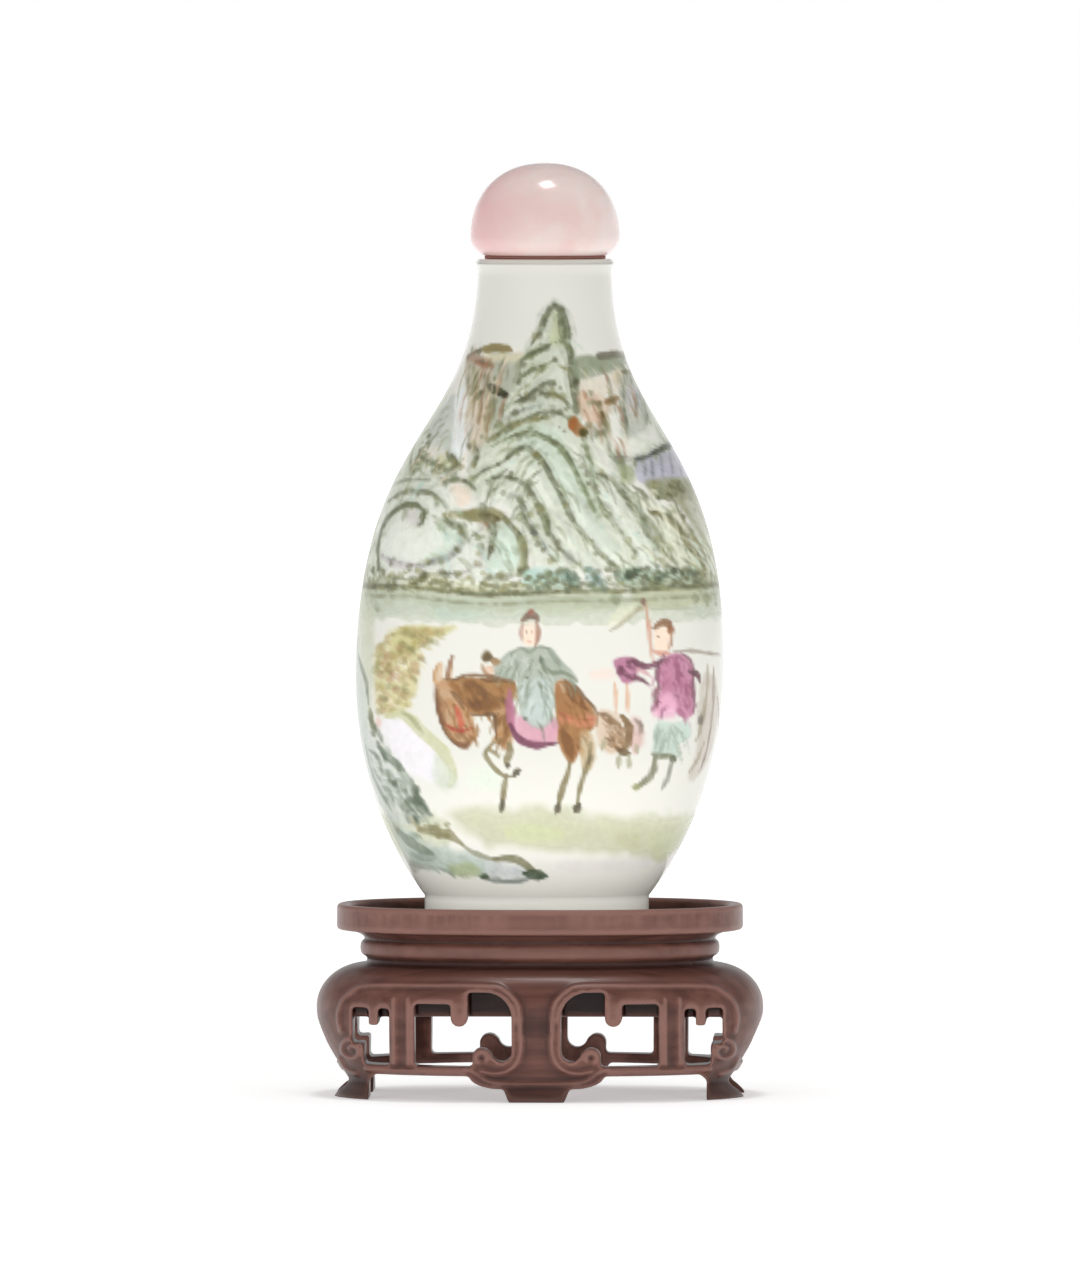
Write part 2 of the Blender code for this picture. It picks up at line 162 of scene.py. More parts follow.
def new_tree(name, inputs):
    """An empty Geometry Nodes tree with named inputs, and its input and output nodes."""
    tree = bpy.data.node_groups.new(name, "GeometryNodeTree")
    for label, kind in inputs.items():
        tree.interface.new_socket(label, in_out="INPUT", socket_type=kind)
    tree.interface.new_socket("Geometry", in_out="OUTPUT", socket_type="NodeSocketGeometry")
    return tree, tree.nodes.new("NodeGroupInput").outputs, tree.nodes.new("NodeGroupOutput")


def finish_tree(tree, group_out, geometry, look):
    """Ends a tree with real geometry in its material."""
    real = add_node(tree, "GeometryNodeRealizeInstances", {0: geometry})
    dressed = add_node(tree, "GeometryNodeSetMaterial", {"Geometry": real.outputs[0], "Material": look})
    tree.links.new(dressed.outputs[0], group_out.inputs[0])


def run_tree(name, tree, values):
    """Runs a tree and keeps what it makes as a plain mesh object."""
    made = bpy.data.objects.new(name, bpy.data.meshes.new(name))
    bpy.context.scene.collection.objects.link(made)
    modifier = made.modifiers.new(tree.name, "NODES")
    modifier.node_group = tree
    for item in tree.interface.items_tree:
        if item.item_type == "SOCKET" and item.in_out == "INPUT":
            modifier[item.identifier] = values[item.name]
    mesh = bpy.data.meshes.new_from_object(made.evaluated_get(bpy.context.evaluated_depsgraph_get()))
    made.modifiers.remove(modifier)
    made.data = mesh
    mesh.name = name
    return made


def ring_value(tree, template, ring, kind, field):
    """Reads a field of the template at one ring's point."""
    sample = add_node(tree, "GeometryNodeSampleIndex", {"Geometry": template}, data_type=kind, domain="POINT")
    tree.links.new(field, next(socket for socket in sample.inputs if socket.name == "Value" and socket.enabled))
    tree.links.new(ring, sample.inputs["Index"])
    return next(socket for socket in sample.outputs if socket.enabled)


def throwing_tree():
    """Lays a closed skin of oval rings on a template that holds one point for each ring."""
    inputs = {"Template": "NodeSocketObject", "Columns": "NodeSocketInt",
        "Front closeness": "NodeSocketFloat"}
    tree, size, group_out = new_tree("throw_rings", inputs | {"Look": "NodeSocketMaterial"})
    template = add_node(tree, "GeometryNodeObjectInfo", {"Object": size["Template"]}).outputs["Geometry"]
    rings = add_node(tree, "GeometryNodeAttributeDomainSize", {0: template},
        component="MESH").outputs["Point Count"]
    extent = {"Size X": 1.0, "Size Y": 1.0, "Vertices X": size["Columns"], "Vertices Y": rings}
    grid = add_node(tree, "GeometryNodeMeshGrid", extent).outputs["Mesh"]
    place = add_node(tree, "ShaderNodeSeparateXYZ",
        {0: add_node(tree, "GeometryNodeInputPosition").outputs[0]})
    along = calc(tree, "MULTIPLY", calc(tree, "ADD", place.outputs["Y"], 0.5),
        calc(tree, "SUBTRACT", rings, 1.0))
    ring = calc(tree, "ROUND", along)
    even = calc(tree, "MULTIPLY", place.outputs["X"], 2 * math.pi)
    turn = calc(tree, "SUBTRACT", even, calc(tree, "MULTIPLY", calc(tree, "SINE", even),
        size["Front closeness"]))
    drawn = ring_value(tree, template, ring, "FLOAT_VECTOR", add_node(tree,
        "GeometryNodeInputPosition").outputs[0])
    drawn = add_node(tree, "ShaderNodeSeparateXYZ", {0: drawn}).outputs
    own = {}
    for label in ("squareness", "middle"):
        named = add_node(tree, "GeometryNodeInputNamedAttribute", {"Name": label}, data_type="FLOAT")
        field = next(socket for socket in named.outputs if socket.name == "Attribute" and socket.enabled)
        own[label] = ring_value(tree, template, ring, "FLOAT", field)
    sine, cosine = calc(tree, "SINE", turn), calc(tree, "COSINE", turn)
    sine_part = calc(tree, "POWER", calc(tree, "ABSOLUTE", sine), own["squareness"])
    cosine_part = calc(tree, "POWER", calc(tree, "ABSOLUTE", cosine), own["squareness"])
    total = calc(tree, "ADD", sine_part, cosine_part)
    reach = calc(tree, "POWER", total, calc(tree, "DIVIDE", -1.0, own["squareness"]))
    wide = calc(tree, "MULTIPLY", drawn["X"], reach)
    across = calc(tree, "MULTIPLY_ADD", wide, sine, own["middle"])
    deep = calc(tree, "MULTIPLY", calc(tree, "MULTIPLY", drawn["Y"], reach), -1.0)
    point = add_node(tree, "ShaderNodeCombineXYZ", {0: across, 1: calc(tree, "MULTIPLY", deep, cosine),
        2: drawn["Z"]})
    store = {"Geometry": grid, "Name": "ring"}
    numbered = add_node(tree, "GeometryNodeStoreNamedAttribute", store, data_type="INT", domain="POINT")
    tree.links.new(ring, next(socket for socket in numbered.inputs if socket.name == "Value" and socket.enabled))
    moved = {"Geometry": numbered.outputs[0], "Position": point.outputs[0]}
    moved = add_node(tree, "GeometryNodeSetPosition", moved)
    closed = add_node(tree, "GeometryNodeMergeByDistance", {"Geometry": moved.outputs[0], "Distance": 1e-7})
    finish_tree(tree, group_out, closed.outputs[0], size["Look"])
    return tree


def throw(name, rings, look, columns, closeness=0.0):
    """A closed piece through rings of (half width, half depth, height), squareness and middle."""
    mesh = bpy.data.meshes.new(name + "_template")
    mesh.from_pydata([ring[0] for ring in rings], [(i, i + 1) for i in range(len(rings) - 1)], [])
    for column, label in ((1, "squareness"), (2, "middle")):
        values = [ring[column] for ring in rings]
        mesh.attributes.new(label, "FLOAT", "POINT").data.foreach_set("value", values)
    template = bpy.data.objects.new(mesh.name, mesh)
    bpy.context.scene.collection.objects.link(template)
    values = {"Template": template, "Columns": columns, "Front closeness": closeness, "Look": look}
    made = run_tree(name, throwing_tree(), values)
    bpy.data.objects.remove(template, do_unlink=True)
    made.data.shade_smooth()
    return made


def new_material(name):
    """A material with nodes, its tree and its Principled BSDF."""
    look = bpy.data.materials.new(name)
    look.use_nodes = True
    return look, look.node_tree, look.node_tree.nodes["Principled BSDF"]


glaze, glaze_tree, glaze_shader = new_material("painted_glaze")
rings, outside_from, outside_to = bottle_rings()
bottle = throw("painted_bottle", rings, glaze, 291, 0.56)


# Painting on the bottle.
# Soft enamels in thin washes and brush lines: cliffs and folded ridges above a shore, and below them a rider on a
# donkey with a porter on a bank. It runs all round, with a plainer landscape on the back.
def srgb(red, green, blue):
    return np.array((red, green, blue), float) / 255


glaze_white = srgb(232, 231, 222)
ink, moss, olive, dark_olive = srgb(104, 108, 80), srgb(118, 128, 90), srgb(134, 131, 84), srgb(82, 82, 50)
jade, turquoise, stone_grey = srgb(206, 220, 203), srgb(168, 202, 190), srgb(188, 192, 182)
ochre, brown, dark_brown = srgb(176, 132, 82), srgb(142, 92, 38), srgb(92, 58, 20)
russet, peach, rose = srgb(158, 112, 84), srgb(238, 216, 194), srgb(208, 152, 168)
plum, dark_plum, lavender = srgb(168, 98, 130), srgb(102, 48, 70), srgb(192, 188, 204)


class Skin:
    """Where each point of the bottle's outside lies, along the surface and up, and the paint on it so far."""

    def __init__(self, mesh, rings, first, last):
        number = len(mesh.vertices)
        points = np.empty(number * 3)
        mesh.vertices.foreach_get("co", points)
        points = points.reshape(-1, 3)
        ring = np.empty(number, np.int32)
        mesh.attributes["ring"].data.foreach_get("value", ring)
        self.height = (points[:, 2] - base_z) * 1000
        self.front, self.back = np.full(number, 1e3), np.full(number, 1e3)
        turns = np.linspace(0, np.pi, 181)
        self.heights, self.across, self.along = [], [], []
        for index in range(first, last):
            (half_width, half_deep, height), squareness, middle = rings[index]
            sine, cosine = np.sin(turns), np.abs(np.cos(turns))
            reach = (sine**squareness + cosine**squareness) ** (-1 / squareness)
            x, y = 1000 * half_width * reach * sine, -1000 * half_deep * reach * np.cos(turns)
            along = np.concatenate([[0], np.cumsum(np.hypot(np.diff(x), np.diff(y)))])
            here = ring == index
            place = points[here]
            turn = np.arctan2((place[:, 0] - middle) / half_width, -place[:, 1] / half_deep)
            self.front[here] = np.interp(np.abs(turn), turns, along) * np.sign(turn)
            self.back[here] = (along[-1] - np.abs(self.front[here])) * -np.sign(turn)
            self.heights.append((height - base_z) * 1000)
            self.across.append(x[:91])
            self.along.append(along[:91])
        # Painted light: the glaze's white is made lighter toward the foot, which the stand shades, and near the
        # shoulder, against a slightly darker middle.
        pale = np.interp(self.height, (0, 8, 16, 34, 50), (1.06, 1.03, 0.965, 0.965, 1.01))
        self.colour = np.minimum(glaze_white * pale[:, None], 0.985)
        self.cover = np.zeros(number)
        self.face, self.hand, self.brush = "front", 1, 1.0
        self.random = np.random.default_rng(7)
        self.grains = {}

    def laid(self, points):
        """Points of (across, up) as seen straight on, moved to (along the surface, up)."""
        out = []
        heights = np.array(self.heights)
        for across, up in points:
            index = int(np.argmin(np.abs(heights - up)))
            wide, along = self.across[index], self.along[index]
            reach = abs(across)
            distance = np.interp(reach, wide, along) + max(0, reach - wide[-1])
            out.append((self.hand * math.copysign(distance, across), up))
        return np.array(out)

    def grain(self, scale):
        """Smooth random values from 0 to 1 over the skin, with lumps of about this size in millimetres."""
        key = (scale, self.face)
        if key not in self.grains:
            lattice = np.random.default_rng(len(self.grains) + 11).random((160, 160))
            u = (getattr(self, self.face) + 80) / scale % 158
            v = (self.height + 10) / scale % 158
            i, j = u.astype(int), v.astype(int)
            fu, fv = (u - i) ** 2 * (3 - 2 * (u - i)), (v - j) ** 2 * (3 - 2 * (v - j))
            low = lattice[j, i] * (1 - fu) + lattice[j, i + 1] * fu
            high = lattice[j + 1, i] * (1 - fu) + lattice[j + 1, i + 1] * fu
            self.grains[key] = low * (1 - fv) + high * fv
        return self.grains[key]

    def near(self, points, margin):
        """The numbers of the vertices in a box around these points, and their places."""
        low, high = points.min(axis=0) - margin, points.max(axis=0) + margin
        s = getattr(self, self.face)
        inside = (s > low[0]) & (s < high[0]) & (self.height > low[1]) & (self.height < high[1])
        found = np.nonzero(inside)[0]
        return found, np.stack([s[found], self.height[found]], axis=1)

    def put(self, found, colour, amount):
        amount = 1 - (1 - amount) ** 1.4
        self.colour[found] += (colour - self.colour[found]) * amount[:, None]
        self.cover[found] += (1 - self.cover[found]) * amount


def rounded(points, closed=False, steps=5):
    """A smooth path through the points."""
    points = np.asarray(points, float)
    if len(points) < 3:
        return points
    ends = (points[-1:], points[:2]) if closed else (2 * points[:1] - points[1:2],
        2 * points[-1:] - points[-2:-1])
    p = np.concatenate([ends[0], points, ends[1]])
    out = []
    for a, b, c, d in zip(p, p[1:], p[2:], p[3:]):
        for t in np.arange(steps) / steps:
            out.append(0.5 * (2 * b + (c - a) * t + (2 * a - 5 * b + 4 * c - d) * t**2 + (3 * b - a - 3 * c + d) * t**3))
    return np.array(out if closed else [*out, points[-1]])


def distances(places, path):
    """From each place to the nearest point of the path, and how far along the path that is, from 0 to 1."""
    best = np.full(len(places), 1e9)
    share = np.zeros(len(places))
    spans = np.linalg.norm(np.diff(path, axis=0), axis=1)
    total, so_far = max(spans.sum(), 1e-9), 0.0
    for a, b, span in zip(path, path[1:], spans):
        t = np.clip(((places - a) @ (b - a)) / max(span**2, 1e-12), 0, 1)
        gap = np.linalg.norm(places - a - t[:, None] * (b - a), axis=1)
        closer = gap < best
        best[closer] = gap[closer]
        share[closer] = ((so_far + t * span) / total)[closer]
        so_far += span
    return best, share


def eased(value):
    value = np.clip(value, 0, 1)
    return value * value * (3 - 2 * value)


def wash(colour, outline, strength=0.8, soft=0.35, mottle=0.35, grain=1.0):
    """A patch of thin colour with soft uneven edges."""
    path = rounded(skin.laid(outline), closed=True, steps=4)
    found, places = skin.near(path, soft)
    if len(found) == 0:
        return
    inside = np.zeros(len(found), bool)
    x, y = places[:, 0], places[:, 1]
    for (x0, y0), (x1, y1) in zip(path, np.roll(path, -1, axis=0)):
        crosses = (y0 > y) != (y1 > y)
        inside ^= crosses & (x < (x1 - x0) * (y - y0) / (y1 - y0 + 1e-12) + x0)
    gap, _ = distances(places, np.concatenate([path, path[:1]]))
    depth = np.where(inside, gap, -gap) + (skin.grain(grain * 0.6)[found] - 0.5) * soft
    amount = eased(depth / (2 * soft) + 0.5) * strength
    skin.put(found, colour, amount * (1 - mottle * skin.grain(grain)[found]))


def stroke(colour, points, width=0.4, strength=0.8, taper=(0.5, 0.3), dry=0.35):
    """A brush line that swells in the middle and thins to a share of its width at each end."""
    path = rounded(skin.laid(points))
    width = width * skin.brush
    found, places = skin.near(path, width + 0.2)
    if len(found) == 0:
        return
    gap, share = distances(places, path)
    thin = np.interp(share, (0, 0.3, 0.7, 1), (taper[0], 1, 1, taper[1]))
    wobble = 0.75 + 0.5 * skin.grain(0.9)[found]
    edge = 0.58 * width * thin * wobble
    amount = eased((edge - gap) / (0.22 * skin.brush) + 0.5) * strength
    skin.put(found, colour, amount * (1 - dry * skin.grain(0.45)[found]))


def dab(colour, spot, size=0.4, strength=0.8, flat=1.0):
    """One round touch of the brush."""
    centre = skin.laid([spot])
    size = size * skin.brush
    found, places = skin.near(centre, size * 1.6)
    if len(found) == 0:
        return
    gap = np.hypot(places[:, 0] - centre[0, 0], (places[:, 1] - centre[0, 1]) / flat)
    edge = size * (0.75 + 0.5 * skin.grain(0.5)[found])
    skin.put(found, colour, eased((edge - gap) / (0.8 * size) + 0.5) * strength)


def scatter(outline, number):
    """Random places inside an outline."""
    outline = np.array(outline, float)
    low, high = outline.min(axis=0), outline.max(axis=0)
    found = []
    for _ in range(number * 20):
        spot = low + skin.random.random(2) * (high - low)
        inside = False
        for (x0, y0), (x1, y1) in zip(outline, np.roll(outline, -1, axis=0)):
            if (y0 > spot[1]) != (y1 > spot[1]) and spot[0] < (x1 - x0) * (spot[1] - y0) / (y1 - y0) + x0:
                inside = not inside
        if inside and len(found) < number:
            found.append(spot)
    return found


def pick(colours):
    return colours[int(skin.random.integers(len(colours)))]


def dabs(colours, outline, number, size=0.25, strength=0.6, flat=0.7):
    """Many small touches at random places inside an outline, as for leaves and moss."""
    for spot in scatter(outline, number):
        scale = 0.6 + 0.8 * skin.random.random()
        dab(pick(colours), spot, size * scale, strength * (0.6 + 0.4 * skin.random.random()), flat)


def hatch(colours, outline, number, middle=0.0, length=1.5, width=0.24, strength=0.5, steep=1.0):
    """Short dry brush lines inside an outline that fall away from a middle, as in the folds of a rock."""
    for spot in scatter(outline, number):
        away = 1 if spot[0] > middle else -1
        reach = length * (0.5 + skin.random.random())
        fall = reach * steep * (0.6 + 0.6 * skin.random.random())
        line = [spot, spot + (away * reach * 0.5, -fall * 0.35), spot + (away * reach * 0.8, -fall)]
        stroke(pick(colours), line, width * (0.6 + 0.8 * skin.random.random()), strength, (0.3, 0.2), 0.7)


def ridge(colour, points, width=0.4, strength=0.8, taper=(0.5, 0.3), dry=0.6):
    """A broken contour of a rock, with a soft shade beside it and moss touched along it."""
    path = np.array(points, float)
    shade = 0.55 * colour + 0.45 * jade
    for drop, wide, amount in ((0.4, 1.6, 0.2), (-0.25, 0.9, 0.14)):
        stroke(shade, path - (0, drop), wide, amount, (0.7, 0.7), 0.8)
    stroke(colour, path, width * 1.05, strength, taper, dry)
    stroke(colour * 0.72, path + (0.12, 0.1), width * 0.5, strength * 0.8, taper, 0.95)
    line = rounded(points, steps=6)
    for spot in line[skin.random.random(len(line)) < 0.28]:
        place = spot + skin.random.normal(0, 0.22, 2)
        dab(pick((dark_olive, ink, moss, olive)), place, 0.16 + 0.2 * skin.random.random(), 0.4)


def paint_peak():
    """The tall peak and the ridges that fold down from it."""
    wash(srgb(212, 218, 199), [(1.1, 57.5), (0.2, 56.2), (-0.8, 54.4), (-2, 52.4), (-2.6, 50), (-4.6, 46),
        (-6.4, 42.6), (-6.8, 40), (-3, 39), (-1, 36), (0, 33.4), (6, 33), (9.5, 33), (8.6, 38), (6.2, 42),
        (4.4, 45), (3.4, 48), (3, 51.6), (2.5, 54.8)], 0.75, 0.3, 0.3, 2.2)
    wash(srgb(203, 207, 160), [(1.1, 57), (0.8, 55.4), (0.8, 54), (1.5, 53.6), (1.9, 55)], 0.8)
    wash(jade, [(-4, 45.2), (-1.4, 46.6), (1.2, 46), (3, 43.4), (4.6, 40), (3, 37.4), (0.6, 42),
        (-1.2, 43.8)], 0.8)
    wash(srgb(226, 231, 216), [(-5.6, 41.6), (-3, 43.4), (-1.4, 43.8), (0.4, 41.8), (1.6, 39.8), (0.6, 38.4),
        (-0.6, 40), (-2, 41), (-4, 41.4)], 0.8)
    wash(srgb(224, 232, 218), [(2.6, 40), (4, 38.4), (6.4, 35), (8, 33.4), (9.2, 32.8), (7.4, 33.2),
        (5, 35.2), (3.4, 37.2)], 0.85, 0.4)
    wash(srgb(226, 232, 218), [(5, 41), (6, 40.4), (8, 37.6), (10, 35), (10.8, 33.4), (9.6, 33.6),
        (7.8, 36.2), (6, 39)], 0.85, 0.4)
    wash(srgb(196, 206, 192), [(3.2, 40.6), (4.2, 39.4), (6.4, 36.4), (7.6, 34.6), (6.6, 34.6), (4.6, 37)],
        0.7, 0.4)
    dark = srgb(96, 98, 70)
    ridge(ink, [(1.2, 57.4), (0.5, 56.8), (0.1, 56), (-0.1, 55.2), (-0.6, 54.4), (-1, 53.8)], 0.5, 0.75)
    ridge(ink, [(1.0, 57.5), (1.7, 56.9), (2.1, 56), (2.35, 55), (2.45, 53.8), (2.7, 52.6)], 0.45, 0.8,
        (0.5, 0.9))
    ridge(moss, [(1.8, 56.8), (1.8, 55.8), (2.0, 54.6), (2.1, 54)], 0.65, 0.75)
    ridge(dark, [(2.7, 52.4), (2.9, 51.4), (3.1, 50), (3.3, 48.8), (3.4, 47.6)], 0.8, 0.85, (0.5, 0.6))
    ridge(dark_olive, [(2.8, 52), (2.85, 51.4)], 0.35, 0.7)
    ridge(moss, [(0.8, 53.8), (-0.2, 53.2), (-1.1, 52.8), (-1.9, 52.3)], 0.55, 0.8, (0.3, 0.8))
    ridge(ink, [(-2.0, 52.2), (-2.2, 51.2), (-2.4, 50.2)], 0.5, 0.7)
    ridge(moss, [(1.2, 52.3), (0.4, 51.9), (-0.8, 51.4), (-1.7, 50.9), (-2.4, 50.3)], 0.4, 0.75, (0.2, 0.9))
    ridge(ink, [(1.2, 50.4), (0.5, 50.2), (-0.2, 49.8), (-1, 49.1), (-1.7, 48.7), (-2.5, 48.3)], 0.4, 0.8)
    dab(dark, (-1.6, 48.65), 0.4, 0.75, 0.7)
    dab(dark, (-2.4, 50.4), 0.32, 0.7)
    ridge(ink, [(-0.6, 48.9), (0.4, 49.2), (1.2, 49.1), (2, 48.6), (2.7, 48), (3.3, 47.3)], 0.3, 0.6,
        (0.2, 0.8))
    ridge(stone_grey * 0.9, [(0.2, 48.2), (-1, 47.8), (-2.4, 47.3), (-3.6, 46.6), (-4.4, 46)], 0.35, 0.6)
    ridge(ink, [(2.8, 46.6), (1.8, 47.3), (0.8, 47.5), (-0.2, 47.3), (-1.3, 46.9), (-2.2, 46.5), (-3, 46.1),
        (-3.9, 45.5), (-4.9, 44.7)], 0.34, 0.7, (0.2, 0.6))
    ridge(olive, [(0.8, 46.9), (-0.4, 46.8), (-1.8, 46.5), (-3, 46), (-4, 45.3)], 0.45, 0.5)
    ridge(moss, [(-4.6, 44.2), (-3.4, 44.9), (-2, 45.4), (-0.6, 45.5), (0.8, 44.9), (1.8, 44.3), (2.5, 43.4),
        (3.1, 42.4), (3.6, 41.3), (4.2, 40.2), (4.8, 39), (5.2, 38.2)], 0.42, 0.78, (0.2, 0.5))
    dab(ink, (1.4, 44.6), 0.38, 0.55, 0.8)
    ridge(ink, [(-6.4, 41.2), (-5.2, 42), (-3.9, 42.6), (-3, 43.2), (-2.2, 43.9), (-1.4, 44.2), (-0.7, 43.8),
        (0.1, 43), (0.8, 42), (1.3, 41.1), (1.9, 40), (2.5, 38.8), (3.1, 37.6), (4.1, 36.2), (5.6, 34.6),
        (6.6, 33.6), (7.1, 33.2)], 0.42, 0.75, (0.4, 0.7))
    ridge(ink, [(-5, 41.1), (-3.6, 41.4), (-2.3, 41.2), (-1.4, 40.7), (-0.8, 40), (-0.3, 39.2), (0.2, 38.3),
        (0.6, 37.3), (1, 36.3), (1.7, 35.2), (2.6, 34.2), (3.6, 33.4)], 0.4, 0.68, (0.3, 0.4))
    ridge(moss, [(0.15, 38.8), (0.5, 38), (0.8, 37), (1, 36)], 0.55, 0.6)
    ridge(stone_grey * 0.86, [(-2.8, 39.9), (-1.9, 39.4), (-1.3, 38.4), (-0.9, 37.4), (-0.3, 36.2),
        (0.6, 34.8), (1.6, 33.6)], 0.4, 0.6)
    ridge(dark, [(-1.7, 38.4), (-1.3, 37.4), (-0.7, 36.6), (-0.3, 36.1)], 0.4, 0.6)
    ridge(moss, [(4.1, 45.4), (4.3, 44.2), (4.7, 42.8), (4.9, 41.4), (5.2, 40), (6, 38.4), (7.2, 36.8),
        (8.4, 35.2), (9.2, 34)], 0.4, 0.65, (0.8, 0.3))
    ridge(ink, [(5.6, 44.8), (6.2, 44), (6.9, 43.2), (7.4, 42.4)], 0.38, 0.65)
    ridge(dark, [(5.3, 41.7), (6, 41.5), (6.7, 41.2), (7.3, 40.5), (7.9, 39.8), (8.4, 39), (9.2, 37.6),
        (10.1, 36.1), (11, 34.9), (11.8, 33.9)], 0.42, 0.7, (0.6, 0.3))
    dab(dark, (6.4, 41.25), 0.3, 0.6, 0.6)
    dab(ink, (8.4, 38.9), 0.3, 0.5)
    dab(stone_grey * 0.8, (3.1, 33.9), 0.7, 0.5)
    dab(ink, (6.8, 33.4), 0.4, 0.5, 0.7)
    upper = [(1.1, 57), (-0.8, 54.4), (-2.6, 50), (-6.2, 43), (0, 44.4), (4.4, 44.6), (3.2, 48), (2.6, 54.8)]
    lower = [(-6.6, 42), (0, 45), (5, 44.6), (7.6, 41.6), (11, 35), (9.5, 33), (1, 33), (-1.4, 37), (-3, 39)]
    pale = srgb(230, 234, 220)
    hatch((moss, olive, pale, pale, jade), upper, 60, 1.2, 1.3, 0.24, 0.45, 0.7)
    hatch((ink, moss, pale, pale, pale, jade, stone_grey), lower, 120, 0.4, 1.9, 0.26, 0.48, 1.1)
    dabs((dark_olive, ink, moss), upper, 22, 0.2, 0.4)
    dabs((ink, moss, turquoise), lower, 30, 0.24, 0.3)


def paint_left_cliffs():
    """A flat-topped cliff left of the peak, a white mist beside it and a shrubby ridge at the edge."""
    wash(srgb(168, 172, 150), [(-5.2, 52.6), (-2.6, 53), (-2, 52), (-2.6, 49.6), (-4.6, 46), (-6, 43.6),
        (-6.8, 42), (-5.6, 45), (-5.4, 49)], 0.7, 0.3)
    wash(srgb(204, 190, 170), [(-7.2, 52.4), (-5, 52.4), (-4.8, 49.6), (-5.2, 45), (-6.4, 43.6), (-6.9, 46),
        (-7, 49)], 0.85, 0.25)
    wash(srgb(222, 214, 180), [(-5.6, 52.7), (-2.8, 53), (-1.6, 52.8), (-2.6, 52.1), (-5, 52.2)], 0.7)
    wash(srgb(136, 122, 74), [(-6, 53.1), (-5.4, 53.6), (-4.4, 53.85), (-3.4, 53.7), (-2.7, 53.1), (-4, 53),
        (-5.2, 52.9)], 0.9, 0.15)
    wash(srgb(160, 128, 104), [(-7.2, 52.3), (-6.4, 52.8), (-5.4, 52.4), (-4.6, 51.8), (-5.4, 51.6),
        (-6.6, 52)], 0.85)
    ridge(russet, [(-6.4, 52.1), (-5.6, 51.9), (-4.8, 51.7)], 0.4, 0.8)
    ridge(srgb(140, 120, 96), [(-7.2, 52.5), (-6.5, 52.9), (-5.8, 53.3)], 0.35, 0.7)
    ridge(olive, [(-6.5, 51.6), (-6.4, 50.4), (-6.6, 49)], 0.5, 0.5)
    ridge(srgb(150, 128, 92), [(-5.9, 49.4), (-5.7, 48), (-5.8, 46.4)], 0.45, 0.75, (0.3, 0.8))
    ridge(srgb(158, 140, 100), [(-5, 50), (-4.9, 48), (-5.1, 46.2), (-5, 45)], 0.5, 0.7)
    ridge(srgb(40, 40, 20), [(-4.9, 49.9), (-4.3, 49.5), (-3.4, 49.1)], 0.62, 0.92, (0.7, 0.8), 0.1)
    for across, top, low in ((-6.9, 51.8, 49), (-6.1, 51.4, 49.6), (-5.4, 51.2, 49.2), (-4.4, 48.6, 46.8),
            (-3.6, 48, 46.6), (-3.2, 51.6, 50.4), (-4, 51.8, 50.4)):
        ridge(srgb(130, 128, 102), [(across, top), (across - 0.1, low)], 0.28, 0.45)
    wash(srgb(188, 194, 184), [(-8.8, 48.6), (-8.1, 48.6), (-8, 45), (-8.4, 43.4), (-10.4, 43.6),
        (-10.8, 45.4)], 0.75)
    wash(srgb(232, 237, 236), [(-8, 49.2), (-7.1, 49.4), (-6.8, 46), (-7, 43.4), (-8.2, 43.6), (-8.1, 46)],
        0.9)
    ridge(srgb(196, 186, 176), [(-6.9, 47.4), (-7, 45.6), (-6.6, 43.8)], 0.35, 0.5)
    wash(srgb(226, 220, 208), [(-10.8, 44.2), (-9.2, 44), (-8.9, 43.2), (-10.4, 42.9), (-11, 43.2)], 0.7)
    wash(srgb(200, 202, 150), [(-9.7, 43.2), (-8.6, 43.1), (-8.2, 42.2), (-9.4, 42.2)], 0.7)
    shrubs = (ink, moss, olive, srgb(120, 120, 96))
    dabs(shrubs, [(-12, 42.4), (-10.8, 45.4), (-10.2, 45), (-10.9, 42.9)], 26, 0.28, 0.6)
    dabs(shrubs, [(-11.8, 42.6), (-8.8, 42.6), (-7.2, 43.4), (-7, 41.4), (-9, 41), (-12.2, 41.4)], 30, 0.3,
        0.45)
    ridge(ink, [(-11.4, 43.1), (-10.3, 42.7), (-9.2, 42.2), (-8.2, 42)], 0.4, 0.7)
    ridge(srgb(84, 88, 62), [(-8.7, 43.5), (-8.1, 42.9), (-7.8, 42.3)], 0.6, 0.75)
    ridge(ink, [(-6.2, 44.2), (-5.9, 43.4), (-6.2, 42.4)], 0.5, 0.5)
    ridge(ink, [(-10.2, 40.4), (-9, 40.8), (-7.8, 41.1), (-6.8, 40.9), (-6, 40.2)], 0.4, 0.6)
    wash(peach, [(-8.4, 40.4), (-7.2, 40.6), (-6.4, 39.8), (-7, 38.8), (-8.4, 38.9)], 0.6)
    cliff = [(-7, 52), (-2.8, 52.8), (-2.8, 49.6), (-5, 45.4), (-6.6, 44)]
    hatch((ink, olive, russet, srgb(214, 202, 180), peach), cliff, 38, 0, 1.2, 0.24, 0.42, 3.0)
    slope = [(-11.6, 44.6), (-8.6, 48), (-8.4, 43.6), (-6.6, 43), (-6.6, 40.4), (-12.8, 40.6)]
    hatch((ink, moss, olive, srgb(224, 224, 210), peach), slope, 46, -6, 1.0, 0.24, 0.45, 1.0)


